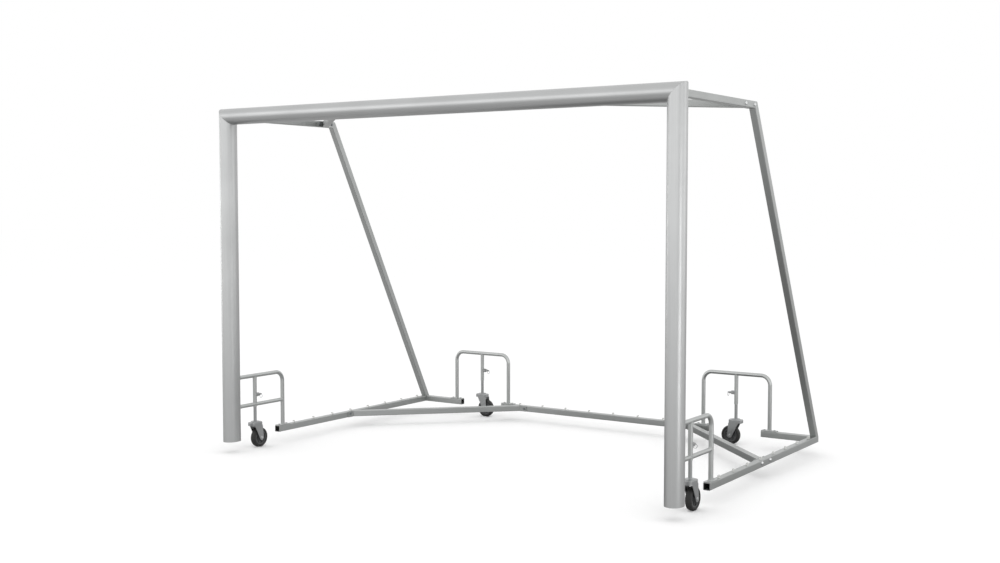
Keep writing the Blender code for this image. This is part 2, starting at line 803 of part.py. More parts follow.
def build_stem(parent, name):
    """Sliding tube, race cap, kingpin and race cup in one turning, with the slot of the plunger."""
    cup_top = CROWN_TOP - FORK_SHEET - SEAM_GAP
    cup_bottom = cup_top - RACE_CUP_THICKNESS
    cap_bottom = CROWN_TOP + SEAM_GAP
    cap_top = cap_bottom + RACE_CAP_THICKNESS
    bore = STEM_TUBE / 2 - STEM_WALL
    profile = [
        (0, cup_bottom - KINGPIN_NUT_HEIGHT),
        (KINGPIN_NUT / 2, cup_bottom - KINGPIN_NUT_HEIGHT),
        (KINGPIN_NUT / 2, cup_bottom),
        (RACE_CUP / 2, cup_bottom),
        (RACE_CUP / 2, cup_top),
        (KINGPIN / 2, cup_top),
        (KINGPIN / 2, cap_bottom),
        (RACE_CAP / 2, cap_bottom),
        (RACE_CAP / 2 - RACE_CAP_THICKNESS / 2, cap_top),
        (STEM_TUBE / 2, cap_top),
        (STEM_TUBE / 2, STEM_TOP),
        (bore, STEM_TOP),
        (bore, cap_top),
        (0, cap_top),
    ]
    stem = lathe(name, profile, ROUND_STEPS, zinc(), parent)
    half = NOSE / 2 + NOSE_CLEARANCE
    high = (0, PLUNGER_HEIGHT)
    low = (0, PLUNGER_HEIGHT - STEM_TRAVEL)
    outline = arc(high, half, 0, pi, 5) + arc(low, half, pi, 2 * pi, 5)
    slot = prism("slot", outline, Vector((0, 0, 0)), Y, Z, X * STEM_TUBE, zinc(), parent)
    cut(stem, [slot])
    return stem


def along_x(loop, distance, height=PLUNGER_HEIGHT):
    """A ring about the plunger's line, at a distance from the stem axis."""
    return [Vector((distance, u, height + v)) for u, v in loop]


def build_plunger_body(parent, name):
    """Welded hexagon and neck over the nose bore, the spring chamber and the shaft bore."""
    inside = SLEEVE_TUBE / 4
    nose_bore = circle(NOSE + 2 * NOSE_CLEARANCE)
    shaft_bore = circle(SHAFT + 2 * NOSE_CLEARANCE)
    outer = [
        along_x(hexagon(HEX), inside),
        along_x(hexagon(HEX), HEX_END),
        along_x(circle(NECK), HEX_END),
        along_x(circle(NECK), NECK_END),
    ]
    inner = [
        along_x(nose_bore, inside),
        along_x(nose_bore, CHAMBER_START),
        along_x(circle(CHAMBER), CHAMBER_START),
        along_x(circle(CHAMBER), CHAMBER_END),
        along_x(shaft_bore, CHAMBER_END),
        along_x(shaft_bore, NECK_END),
    ]
    plunger = hollow(name, outer, inner, zinc(), parent)
    loop = circle(SLEEVE_TUBE + 2 * SEAM_GAP, turn=0.5)
    start = Vector((0, 0, PLUNGER_HEIGHT - HEX))
    cut(plunger, [prism("sleeve_form", loop, start, X, Y, Z * 2 * HEX, zinc(), parent)])
    return plunger


def build_plunger_pin(parent, name):
    """Nose, collar and shaft, ending in an eye for the pull ring."""
    collar_start = CHAMBER_START + SEAM_GAP
    collar_end = collar_start + COLLAR_LENGTH
    chamfer = NOSE / 8
    stations = [
        (NOSE - 2 * chamfer, NOSE_TIP),
        (NOSE, NOSE_TIP + chamfer),
        (NOSE, collar_start),
        (COLLAR, collar_start),
        (COLLAR, collar_end),
        (SHAFT, collar_end),
        (SHAFT, EYE_CENTRE - (EYE + EYE_HOLE) / 4),
    ]
    rings = [along_x(circle(diameter, SMALL_STEPS), distance) for diameter, distance in stations]
    pin = solid(name, rings, zinc(), parent)
    start = Vector((EYE_CENTRE, -EYE_THICKNESS / 2, PLUNGER_HEIGHT))
    loop = circle(EYE, SMALL_STEPS, turn=0.5)
    hole = circle(EYE_HOLE, SMALL_STEPS, turn=0.5)
    eye = prism("eye", loop, start, X, Z, Y * EYE_THICKNESS, zinc(), parent, [hole])
    weld(pin, [eye])
    return pin


def build_plunger_spring(parent, name):
    """A round wire wound between the collar and the end wall of the chamber."""
    first = CHAMBER_START + SEAM_GAP + COLLAR_LENGTH + SEAM_GAP + SPRING_WIRE / 2
    last = CHAMBER_END - SEAM_GAP - SPRING_WIRE / 2
    per_turn = 7
    count = SPRING_TURNS * per_turn
    radius = SPRING_MEAN / 2
    rings = []
    for k in range(count + 1):
        angle = 2 * pi * k / per_turn
        outward = Vector((0, cos(angle), sin(angle)))
        centre = Vector((first + (last - first) * k / count, 0, PLUNGER_HEIGHT)) + outward * radius
        rings.append([centre + outward * u + X * v for u, v in circle(SPRING_WIRE, 3)])
    return solid(name, rings, zinc(), parent)


def build_pull_ring(parent, name):
    """A wire ring that hangs in the eye of the pin, with its own origin in the middle of the eye."""
    slack = EYE_HOLE / 2 - PULL_RING_WIRE / 2 - PULL_RING_PLAY
    radius = PULL_RING / 2
    profile = [(radius + u, v) for u, v in circle(PULL_RING_WIRE, RING_WIRE_STEPS)]
    drop = (0, 0, -radius - slack)
    return lathe(name, profile, RING_STEPS, zinc(), parent, location=drop, rotation=(0, pi / 2, 0))


def crown_outline(diameter, width, corner):
    """A circle with two flat sides, and a small round where they meet."""
    radius = diameter / 2
    middle = width / 2 - corner
    flat_end = sqrt((radius - corner) ** 2 - middle ** 2)
    edge = atan2(middle, flat_end)
    loop = []
    for turn, right, top in ((0, 1, 1), (0, -1, 1), (1, -1, -1), (1, 1, -1)):
        centre = (right * flat_end, top * middle)
        start = edge if right == top else pi / 2
        end = pi / 2 if right == top else pi - edge
        loop += arc(centre, corner, start + turn * pi, end + turn * pi, 2)
        if right != top:
            loop += arc((0, 0), radius, end + turn * pi, end + turn * pi + 2 * edge, 4)[1:-1]
    return loop


def crown_rings(inset, top, edge, low, steps):
    """The crown's wall and its rounded top edge, inset from the outside of the sheet."""
    rings = [(0.0, low)]
    turns = [pi / 2 * k / steps for k in range(steps + 1)]
    rings += [(edge * (1 - cos(a)), top - edge + edge * sin(a)) for a in turns]
    return [
        [
            Vector((u, v, height))
            for u, v in crown_outline(
                CROWN - 2 * (inset + draw), FORK_WIDTH - 2 * (inset + draw), FORK_CORNER - inset - draw / 2
            )
        ]
        for draw, height in rings
    ]


def build_blade(parent, side):
    """One flat side of the fork, tapering from the skirt of the crown to a round end at the axle."""
    axle = Vector((TRAIL, AXLE_HEIGHT))
    skirt = CROWN_TOP - SKIRT_HEIGHT
    front = Vector((-BLADE_FRONT, skirt))
    rear = Vector((BLADE_REAR, skirt))
    radius = BLADE_END / 2
    to_front, to_rear = front - axle, rear - axle
    start = atan2(to_front.y, to_front.x) + acos(radius / to_front.length)
    end = atan2(to_rear.y, to_rear.x) - acos(radius / to_rear.length) + 2 * pi
    root = skirt + SKIRT_HEIGHT / 2
    outline = [tuple(front), *arc(axle, radius, start, end, 6), tuple(rear)]
    outline += [(BLADE_FRONT, root), (-BLADE_FRONT, root)]
    inner = side * (FORK_WIDTH / 2 - FORK_SHEET)
    return prism("blade", outline, Vector((0, inner, 0)), X, Z, Y * side * FORK_SHEET, zinc(), parent)


def build_fork(parent, name):
    """A pressed steel fork: a hollow crown with two blades, bored for kingpin and axle."""
    skirt = CROWN_TOP - SKIRT_HEIGHT
    under = CROWN_TOP - FORK_SHEET
    fork = solid(name, crown_rings(0.0, CROWN_TOP, FORK_EDGE, skirt, 2), zinc(), parent)
    cavity_rings = crown_rings(FORK_SHEET, under, FORK_EDGE - FORK_SHEET, skirt - FORK_SHEET, 1)
    kingpin = circle(KINGPIN + 2 * KINGPIN_CLEARANCE)
    above_cup = Vector((0, 0, under - FORK_SHEET))
    cut(
        fork,
        [
            solid("cavity", cavity_rings, zinc(), parent),
            prism("kingpin_hole", kingpin, above_cup, X, Y, Z * 3 * FORK_SHEET, zinc(), parent),
        ],
    )
    weld(fork, [build_blade(parent, -1), build_blade(parent, 1)])
    axle = circle(AXLE + 2 * AXLE_CLEARANCE)
    beside = Vector((TRAIL, -FORK_WIDTH, AXLE_HEIGHT))
    cut(fork, [prism("axle_hole", axle, beside, X, Z, Y * 2 * FORK_WIDTH, zinc(), parent)])
    return fork


def build_axle(parent, name):
    """A bolt through blades and hub, with its head on one side and its nut on the other."""
    inner = FORK_WIDTH / 2 + SEAM_GAP
    outer = inner + AXLE_HEAD_HEIGHT
    stations = [
        (hexagon(AXLE_HEAD), -outer),
        (hexagon(AXLE_HEAD), -inner),
        (circle(AXLE), -inner),
        (circle(AXLE), inner),
        (hexagon(AXLE_HEAD), inner),
        (hexagon(AXLE_HEAD), outer),
    ]
    rings = [[Vector((u, v, height)) for u, v in loop] for loop, height in stations]
    place_at = (TRAIL, 0, AXLE_HEIGHT)
    return solid(name, rings, zinc(), parent, location=place_at, rotation=(pi / 2, 0, 0))


def build_tyre(parent, name):
    """The tread's flats, not its edges, lie on the wheel's circle, so it rests at its true height."""
    half = WHEEL_WIDTH / 2
    radius = WHEEL / 2 / cos(pi / WHEEL_STEPS)
    shoulder = radius - TYRE_SHOULDER
    profile = [(TYRE_SEAT / 2, -half + TYRE_BEAD)]
    profile += arc((shoulder, -half + TYRE_SHOULDER), TYRE_SHOULDER, -pi / 2, 0, 2)
    profile += arc((shoulder, half - TYRE_SHOULDER), TYRE_SHOULDER, 0, pi / 2, 2)
    profile += [(TYRE_SEAT / 2, half - TYRE_BEAD)]
    return lathe(name, profile, WHEEL_STEPS, rubber(), parent, rotation=(pi / 2, 0, 0))


def build_hub(parent, name):
    """Boss, dished web and rim of the wheel centre."""
    bore = AXLE / 2 + AXLE_CLEARANCE
    rim = TYRE_SEAT / 2 - SEAM_GAP
    half = WHEEL_WIDTH / 2 - TYRE_BEAD
    side = [
        (bore, HUB_WIDTH / 2),
        (HUB_BOSS / 2, HUB_WIDTH / 2),
        (rim - HUB_RIM, HUB_WEB / 2),
        (rim - HUB_RIM, half),
        (rim, half),
    ]
    profile = side + [(r, -h) for r, h in reversed(side)]
    return lathe(name, profile, WHEEL_STEPS, hub_plastic(), parent, rotation=(pi / 2, 0, 0))


# Assembly

CASTER_PIECES = {}


def build_caster(goal, corner, place_name):
    """One corner's stem, plunger, fork and wheel; after the first corner, copies of its pieces."""
    stem_axis = axis_empty(place_name + "_stem_axis", corner)
    pin_axis = axis_empty(place_name + "_plunger_axis", corner)
    eye_axis = axis_empty(place_name + "_eye_axis", corner, (EYE_CENTRE, 0, PLUNGER_HEIGHT))
    swivel_axis = axis_empty(place_name + "_swivel_axis", stem_axis)
    wheel_axis = axis_empty(place_name + "_wheel_axis", swivel_axis, (TRAIL, 0, AXLE_HEIGHT))
    recipe = [
        ("caster_stem", build_stem, stem_axis),
        ("plunger_body", build_plunger_body, corner),
        ("plunger_spring", build_plunger_spring, corner),
        ("plunger_pin", build_plunger_pin, pin_axis),
        ("pull_ring", build_pull_ring, eye_axis),
        ("caster_fork", build_fork, swivel_axis),
        ("caster_axle", build_axle, swivel_axis),
        ("wheel_hub", build_hub, wheel_axis),
        ("wheel_tyre", build_tyre, wheel_axis),
    ]
    for piece, build, parent in recipe:
        name = place_name + "_" + piece
        if piece in CASTER_PIECES:
            copy_of(CASTER_PIECES[piece], name, parent)
        else:
            CASTER_PIECES[piece] = build(parent, name)


def build_goal():
    clear_scene()
    front = OVAL_DEPTH / 2
    back = REAR_AXIS + FORK_WIDTH / 2 + SEAM_GAP + AXLE_HEAD_HEIGHT
    goal = axis_empty("goal_frame", None, (0, (front - back) / 2, GROUND_CLEARANCE))
    build_crossbar(goal)
    build_middle_bar(goal)
    for hand, side in (("left", -1), ("right", 1)):
        build_post(goal, hand + "_post", side)
        build_top_arm(goal, hand + "_top_arm", side)
        build_rear_stay(goal, hand + "_rear_stay", side)
        build_side_runner(goal, hand + "_side_runner", side)
        build_rear_stub(goal, hand + "_rear_stub", side)
        build_top_brace(goal, hand + "_top_brace", side)
        build_floor_brace(goal, hand + "_floor_brace", side)
        front_corner = axis_empty(
            "front_" + hand + "_corner", goal, (side * SIDE_AXIS, FRONT_SLEEVE_DEPTH, 0), pi / 2
        )
        build_front_bracket(front_corner, "front_" + hand + "_bracket", side)
        build_caster(goal, front_corner, "front_" + hand)
        heading = 0 if side < 0 else pi
        rear_place = (side * REAR_SLEEVE, REAR_AXIS, 0)
        rear_corner = axis_empty("rear_" + hand + "_corner", goal, rear_place, heading)
        build_rear_bracket(rear_corner, "rear_" + hand + "_bracket")
        build_caster(goal, rear_corner, "rear_" + hand)


build_goal()
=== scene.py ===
# %% [markdown]
# # A portable soccer goal
#
# The goal is a frame of aluminium tube that stands on four swivelling casters. Its moving bodies
# come packed from the CAD model. This notebook dresses them with smooth surfaces and real finishes.
# Each surface is worked out with numpy as a grid of points, because a tube, a tyre and a bolt head
# are all the same thing: an outline that is carried along a path or turned about an axis.

import bmesh
import bpy
import numpy as np
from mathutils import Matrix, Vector


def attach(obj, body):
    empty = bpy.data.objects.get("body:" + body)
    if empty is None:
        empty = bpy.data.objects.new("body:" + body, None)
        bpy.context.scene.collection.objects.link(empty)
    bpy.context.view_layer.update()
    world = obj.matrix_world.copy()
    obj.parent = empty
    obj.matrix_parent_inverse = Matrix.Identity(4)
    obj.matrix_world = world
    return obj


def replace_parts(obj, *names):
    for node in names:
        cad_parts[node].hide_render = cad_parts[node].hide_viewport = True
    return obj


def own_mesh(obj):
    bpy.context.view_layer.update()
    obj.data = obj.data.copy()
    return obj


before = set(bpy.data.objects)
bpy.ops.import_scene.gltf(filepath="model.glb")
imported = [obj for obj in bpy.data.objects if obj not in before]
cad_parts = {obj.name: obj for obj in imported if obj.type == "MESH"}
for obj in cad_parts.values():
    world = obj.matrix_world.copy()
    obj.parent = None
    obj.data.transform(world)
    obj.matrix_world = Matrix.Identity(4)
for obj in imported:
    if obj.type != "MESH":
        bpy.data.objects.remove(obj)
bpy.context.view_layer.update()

# %% [markdown]
# ## Where things are
#
# The frame's own numbers are easiest to read from the mouth: x across, y back from the middle of the
# posts and z up from the underside of the base tubes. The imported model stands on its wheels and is
# centred, so every finished grid is moved by one fixed step.

# %% Sizes of the frame, in metres
ORIGIN = np.array([0.0, -0.99625, 0.071])
POST_X, BAR_Z = 1.55, 2.05
OVAL_ACROSS, OVAL_DEPTH, OVAL_WALL = 0.100, 0.120, 0.003
SLOT_MOUTH, SLOT_LIP, SLOT_CHAMBER, SLOT_DEPTH = 0.008, 0.003, 0.013, 0.012
TUBE, TUBE_WALL, TUBE_CORNER = 0.040, 0.0025, 0.004
SIDE_X, REAR_Y, BASE_Z = 1.5425, 2.0225, 0.020
TOP_DEPTH, BASE_DEPTH = 0.978, 2.0425
RUNNER_FRONT, STUB_END, BAR_END = 0.400, 1.192, 0.831
SEAM = 0.0003

X = np.array([1.0, 0.0, 0.0])
Y = np.array([0.0, 1.0, 0.0])
Z = np.array([0.0, 0.0, 1.0])

# %% [markdown]
# ## From a grid of points to a mesh
#
# A grid has rows (stations along a path) and columns (points round an outline). Every four neighbours
# make one face. A hollow tube is the neatest case: its outer skin, carried forwards, and its inner
# skin, carried backwards, are one grid whose last row joins its first. A modifier that weights the
# normals by face size keeps a flat face flat beside the small rounds of its edges. A finish may carry
# the name of its slot in the imported model.

# %% Faces of a grid


def grid_faces(rows, columns, looped):
    """Face (r, c) joins points (r, c), (r, c+1), (r+1, c+1) and (r+1, c), counted round the outline."""
    r = np.arange(rows if looped else rows - 1)[:, None]
    c = np.arange(columns)[None, :]
    here, beside = r * columns + c, r * columns + (c + 1) % columns
    after = (r + 1) % rows
    beyond = after * columns + (c + 1) % columns
    return np.stack([here, beside, beyond, after * columns + c], -1).reshape(-1, 4)


def run_lengths(grid):
    """Distance round the outline and distance along the path, at every point of the grid."""
    round_step = np.linalg.norm(np.diff(grid, axis=1), axis=2)
    along_step = np.linalg.norm(np.diff(grid, axis=0), axis=2).mean(axis=1)
    around = np.concatenate([np.zeros((len(grid), 1)), np.cumsum(round_step, axis=1)], axis=1)
    along = np.concatenate([[0.0], np.cumsum(along_step)])
    return np.stack([around, np.broadcast_to(along[:, None], around.shape), 0 * around], -1)


# %% Put grids into one object


def piece(name, grids, material, body, sharp=35):
    """Each grid is (points, kind): "loop" closes the rows, "caps" both ends; "poles" ends in points."""
    points, faces, runs, first = [], [], [], 0
    for grid, kind in grids:
        rows, columns, _ = grid.shape
        points.append(grid.reshape(-1, 3) + ORIGIN)
        runs.append(run_lengths(grid).reshape(-1, 3))
        faces += (grid_faces(rows, columns, kind == "loop") + first).tolist()
        if kind == "caps":
            faces.append(list(range(first + columns - 1, first - 1, -1)))
            faces.append(list(range(first + (rows - 1) * columns, first + rows * columns)))
        first += rows * columns
    mesh = bpy.data.meshes.new(name)
    mesh.from_pydata(np.concatenate(points).tolist(), [], faces)
    run = mesh.attributes.new("run", "FLOAT_VECTOR", "POINT")
    run.data.foreach_set("vector", np.concatenate(runs).ravel())
    bm = bmesh.new()
    bm.from_mesh(mesh)
    bmesh.ops.remove_doubles(bm, verts=bm.verts, dist=2e-6)
    bmesh.ops.dissolve_degenerate(bm, edges=bm.edges, dist=1e-6)
    bmesh.ops.recalc_face_normals(bm, faces=bm.faces)
    bm.to_mesh(mesh)
    bm.free()
    mesh.shade_smooth()
    mesh.set_sharp_from_angle(angle=np.radians(sharp))
    mesh.materials.append(material)
    obj = bpy.data.objects.new(name, mesh)
    bpy.context.scene.collection.objects.link(obj)
    flats = obj.modifiers.new("flat faces stay flat", "WEIGHTED_NORMAL")
    flats.keep_sharp = True
    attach(obj, body)
    return obj


# %% [markdown]
# ## Outlines
#
# Three outlines do nearly all the work: the circle, the square with rounded corners and the oval of
# the posts. A hexagon for bolt heads is a circle whose radius grows towards its corners.

# %% Outlines as closed loops of (across, up) points


def circle(diameter, count=40):
    """(r cos t, r sin t) for t once round."""
    t = np.linspace(0, 2 * np.pi, count, endpoint=False)
    return diameter / 2 * np.stack([np.cos(t), np.sin(t)], -1)


def hexagon(flats, count=48):
    """The radius at t is half the flats over the cosine of the angle to the nearest flat."""
    t = np.linspace(0, 2 * np.pi, count, endpoint=False)
    radius = flats / 2 / np.cos((t + np.pi / 6) % (np.pi / 3) - np.pi / 6)
    return radius[:, None] * np.stack([np.cos(t), np.sin(t)], -1)


def rounded(width, height, corner, steps=6):
    """A quarter circle in each corner, and straight edges between them."""
    turn = np.linspace(0, np.pi / 2, steps)[None, :] + (np.arange(4) * np.pi / 2)[:, None]
    middle = np.array([[1, 1], [-1, 1], [-1, -1], [1, -1]]) * [width / 2 - corner, height / 2 - corner]
    return (middle[:, None, :] + corner * np.stack([np.cos(turn), np.sin(turn)], -1)).reshape(-1, 2)


def evenly(loop, count):
    """The same closed outline with its points spread evenly by their distance along it."""
    closed = np.concatenate([loop, loop[:1]])
    reach = np.concatenate([[0], np.cumsum(np.linalg.norm(np.diff(closed, axis=0), axis=1))])
    at = np.linspace(0, reach[-1], count, endpoint=False)
    return np.stack([np.interp(at, reach, closed[:, 0]), np.interp(at, reach, closed[:, 1])], -1)


def oval_part(across, depth, opening, count=120):
    """(a cos t, b sin t), from one edge of the opening at the back, round the front, to the other."""
    edge = np.arccos(opening / across)
    t = np.pi - edge + np.linspace(0, 1, count) * (np.pi + 2 * edge)
    return np.stack([across / 2 * np.cos(t), depth / 2 * np.sin(t)], -1)


# %% [markdown]
# The posts and the crossbar are one extrusion, an oval of 100 by 120 mm with a T-shaped slot along
# its back for the net clips. The inner outline bulges round the slot, so the wall stays whole.

# %% The oval extrusion


def oval_back(offset):
    """How far the back of the oval stands behind its middle, at an offset across it."""
    return OVAL_DEPTH / 2 * np.sqrt(1 - (2 * offset / OVAL_ACROSS) ** 2)


def oval_section():
    """Outer and inner outline with as many points each, so that they can be joined at the ends."""
    outer = oval_part(OVAL_ACROSS, OVAL_DEPTH, SLOT_MOUTH)
    back = outer[0, 1]
    m, c = SLOT_MOUTH / 2, SLOT_CHAMBER / 2
    right = np.array([[m, back - SLOT_LIP], [c, back - SLOT_LIP], [c, back - SLOT_DEPTH]])
    outer = np.concatenate([outer, right, right[::-1] * [-1, 1]])
    wall = c + OVAL_WALL
    inner = oval_part(OVAL_ACROSS - 2 * OVAL_WALL, OVAL_DEPTH - 2 * OVAL_WALL, 2 * wall)
    across = np.linspace(wall, -wall, 6)
    inner = np.concatenate([inner, np.stack([across, 0 * across + back - SLOT_DEPTH - OVAL_WALL], -1)])
    return outer, inner


def tube_section(steps=6):
    """Outer and inner outline of the 40 mm square tube."""
    inner = TUBE - 2 * TUBE_WALL
    inner_corner = TUBE_CORNER - TUBE_WALL
    return rounded(TUBE, TUBE, TUBE_CORNER, steps), rounded(inner, inner, inner_corner, steps)


# %% [markdown]
# ## Carrying an outline
#
# A straight tube is its outline, placed once, with every point then pushed along the tube until it
# meets the saw cut. The cut is a plane for a mitre. Where a tube is coped against a round or oval
# neighbour, the push is the distance to that surface instead.

# %% Straight tubes between two cuts


def placed(loop, origin, across, up):
    """origin + u * across + v * up for every point (u, v)."""
    return origin + loop[:, :1] * across + loop[:, 1:] * up


def to_plane(origin, normal):
    """Push along the line until the offset from the plane is zero."""
    return lambda points, line: ((origin - points) @ normal) / (line @ normal)


def to_round(origin, axis, radius, side):
    """Push until the distance from an axis is the radius, before it (side -1) or behind it (side 1)."""

    def push(points, line):
        offset = points - origin
        offset = offset - (offset @ axis)[:, None] * axis
        middle = -(offset @ line)
        miss = np.linalg.norm(offset + middle[:, None] * line, axis=1)
        return middle + side * np.sqrt(np.maximum(radius**2 - miss**2, 0))

    return push


def straight(section, origin, across, up, line, start, end):
    """Outer skin forwards and inner skin back, as one looped grid."""
    rows = []
    for loop, order in ((section[0], (start, end)), (section[1], (end, start))):
        points = placed(loop, origin, across, up)
        rows += [points + push(points, line)[:, None] * line for push in order]
    return np.stack(rows)


def square_end(points, line):
    """No push at all: a square end where the outline was placed."""
    return np.zeros(len(points))


def halved(corner, arriving, leaving, sign):
    """The mitre plane stands halfway between the two directions, half a seam before the corner."""
    normal = (arriving + leaving) / np.linalg.norm(arriving + leaving)
    return to_plane(corner + normal * sign * SEAM / 2, normal)


# %% [markdown]
# ## Finishes
#
# Blender's shader works with linear light, while the colours given here are sRGB, so one function
# turns hex values into linear ones. Another adds a node with its settings and links, and a third ties
# the patterns of a finish to its shader.

# %% Colour and node helpers


def colour(hex_value):
    """sRGB to linear: v / 12.92 in the dark toe, and ((v + 0.055) / 1.055) to the power 2.4 above it."""
    v = np.array([int(hex_value[k : k + 2], 16) for k in (1, 3, 5)]) / 255
    linear = np.where(v <= 0.04045, v / 12.92, ((v + 0.055) / 1.055) ** 2.4)
    return (*linear.tolist(), 1.0)


def add(material, kind, settings=None, links=None):
    """One node: settings go to its properties or unlinked sockets, links to sockets by name or number."""
    node = material.node_tree.nodes.new(kind)
    for key, value in (settings or {}).items():
        if isinstance(key, str) and hasattr(node, key):
            setattr(node, key, value)
        else:
            node.inputs[key].default_value = value
    for key, source in (links or {}).items():
        material.node_tree.links.new(source, node.inputs[key])
    return node


def finish(name, base, metallic, roughness):
    """A material with its Principled shader set to the plain values of the finish."""
    material = bpy.data.materials.new(name)
    material.use_nodes = True
    shader = material.node_tree.nodes["Principled BSDF"]
    shader.inputs["Base Color"].default_value = colour(base)
    shader.inputs["Metallic"].default_value = metallic
    shader.inputs["Roughness"].default_value = roughness
    return material


def wear(material, colours, blend, height, strength, distance, rough=None):
    """One output blends two colours, one raises a bump, and a node may set the roughness."""
    pair = {"data_type": "RGBA", 6: colour(colours[0]), 7: colour(colours[1])}
    mixed = add(material, "ShaderNodeMix", pair, {0: blend})
    bump = add(material, "ShaderNodeBump", {"Strength": strength, "Distance": distance}, {"Height": height})
    sources = {"Base Color": mixed.outputs[2], "Normal": bump.outputs["Normal"]}
    if rough:
        sources["Roughness"] = rough.outputs["Result"]
    shader = material.node_tree.nodes["Principled BSDF"]
    for socket, output in sources.items():
        material.node_tree.links.new(output, shader.inputs[socket])


# %% [markdown]
# ### Satin anodised aluminium
#
# Extruded aluminium leaves the press with fine die lines along its length. Etching and anodising turn
# it satin: a soft, wide highlight in a neutral silver grey. Real die lines are 0.2 to 1 mm apart, too
# fine for a picture of a whole goal, so here they are drawn 6 mm apart and very faint. They follow the
# tube because the pattern reads the "run" attribute, stretched along the tube.

# %% Aluminium
LINE_GAP, LINE_LENGTH, CLOUD_SIZE = 0.006, 1.5, 0.25


def anodised_aluminium(name, base, dark, roughness):
    """Faint die lines and a slow cloud together vary the colour and roughness; the lines also bump."""
    material = finish(name, base, 1.0, roughness)
    run = add(material, "ShaderNodeAttribute", {"attribute_name": "run"})
    stretch = {"Scale": (1 / LINE_GAP, 1 / LINE_LENGTH, 1.0)}
    lines = add(material, "ShaderNodeMapping", stretch, {"Vector": run.outputs["Vector"]})
    along = {"Vector": lines.outputs["Vector"]}
    streaks = add(material, "ShaderNodeTexNoise", {"Scale": 1.0, "Detail": 2.0}, along)
    place = add(material, "ShaderNodeTexCoord")
    where = {"Vector": place.outputs["Object"]}
    cloud = add(material, "ShaderNodeTexNoise", {"Scale": 1 / CLOUD_SIZE, "Detail": 3.0}, where)
    patterns = {0: streaks.outputs["Fac"], 1: cloud.outputs["Fac"]}
    both = add(material, "ShaderNodeMath", {"operation": "ADD"}, patterns)
    spread, amount = {"From Min": 0.7, "From Max": 1.3}, {"Value": both.outputs["Value"]}
    tint = add(material, "ShaderNodeMapRange", spread | {"To Min": 0.0, "To Max": 1.0}, amount)
    limits = {"To Min": roughness + 0.05, "To Max": roughness - 0.03}
    rough = add(material, "ShaderNodeMapRange", spread | limits, amount)
    wear(material, (dark, base), tint.outputs["Result"], streaks.outputs["Fac"], 0.04, 0.0004, rough)
    return material


oval_aluminium = anodised_aluminium("satin_anodised_oval_extrusion", "#BEBFBF", "#B8B9B9", 0.38)
aluminium = anodised_aluminium("satin_anodised_square_tube", "#B4B6B5", "#ACAEAD", 0.40)
bracket_aluminium = anodised_aluminium("satin_aluminium_round_tube", "#BEC0BF", "#B5B7B6", 0.36)

# %% [markdown]
# ### Zinc plated steel
#
# Casters, plungers and bolts are pressed or turned from steel and plated with bright zinc. Zinc is a
# bluish silver that is cloudy up close, so its roughness drifts in patches about 4 mm wide. The nuts
# are duller than the pressings. The domed heads on the braces and the axle bolts are polished, so they
# show as small bright dots.

# %% Zinc


def zinc_plated(name, base, dull, roughness, patch=0.004):
    """Patches of the given size in metres vary the colour and roughness, with a slight bump."""
    material = finish(name, base, 1.0, roughness)
    place = add(material, "ShaderNodeTexCoord")
    where = {"Vector": place.outputs["Object"]}
    cloud = add(material, "ShaderNodeTexNoise", {"Scale": 1 / patch, "Detail": 4.0}, where)
    amount = cloud.outputs["Fac"]
    limits = {"From Min": 0.35, "From Max": 0.65, "To Min": roughness - 0.06, "To Max": roughness + 0.10}
    rough = add(material, "ShaderNodeMapRange", limits, {"Value": amount})
    wear(material, (base, dull), amount, amount, 0.08, 0.0002, rough)
    return material


zinc = zinc_plated("bright_zinc_plated_steel", "#B2B3B3", "#9C9E9F", 0.36)
bolt_zinc = zinc_plated("dull_zinc_plated_bolts", "#9EA1A3", "#85888A", 0.42)
bright_zinc = zinc_plated("polished_zinc_plated_bolt_heads", "#E4E5E5", "#CFD1D1", 0.22)

# %% [markdown]
# ### Rubber and plastic
#
# The tyre is black rubber, moulded matt and greyed by dust. The wheel centre is dark polyamide with a
# low sheen. The net hooks are moulded from pale polyethylene, which looks waxy and has soft edges. It
# has no slot in the imported model, and every other finish carries the name of its slot there.

# %% Rubber, polyamide and polyethylene
DUST_SIZE = 0.03


def moulded(name, base, worn, roughness, grain, strength):
    """A dielectric with a mottled colour and a fine moulded grain of the given size in metres."""
    material = finish(name, base, 0.0, roughness)
    place = add(material, "ShaderNodeTexCoord")
    where = {"Vector": place.outputs["Object"]}
    dust = add(material, "ShaderNodeTexNoise", {"Scale": 1 / DUST_SIZE, "Detail": 5.0}, where)
    fine = add(material, "ShaderNodeTexNoise", {"Scale": 1 / grain, "Detail": 2.0}, where)
    wear(material, (base, worn), dust.outputs["Fac"], fine.outputs["Fac"], strength, 0.0003)
    return material


rubber = moulded("black_moulded_rubber", "#1B1B1B", "#2B2B2A", 0.62, 0.0012, 0.25)
polyamide = moulded("dark_grey_polyamide", "#4A4B4C", "#58595A", 0.42, 0.0015, 0.12)
polyethylene = moulded("pale_moulded_polyethylene", "#D8D9D6", "#CDCECB", 0.38, 0.0020, 0.05)
for material in (oval_aluminium, aluminium, bracket_aluminium):
    material["slot"] = "satin_aluminium"
for material in (zinc, bolt_zinc, bright_zinc):
    material["slot"] = "zinc_plated_steel"
rubber["slot"], polyamide["slot"] = "black_rubber", "grey_polyamide"

# %% [markdown]
# ## The mouth: two posts and a crossbar
#
# The oval is carried along three straight lines that meet in 45 degree mitres. Each mitre plane is
# pulled back by half of a 0.3 mm seam, so the joint shows as the fine line that it is.

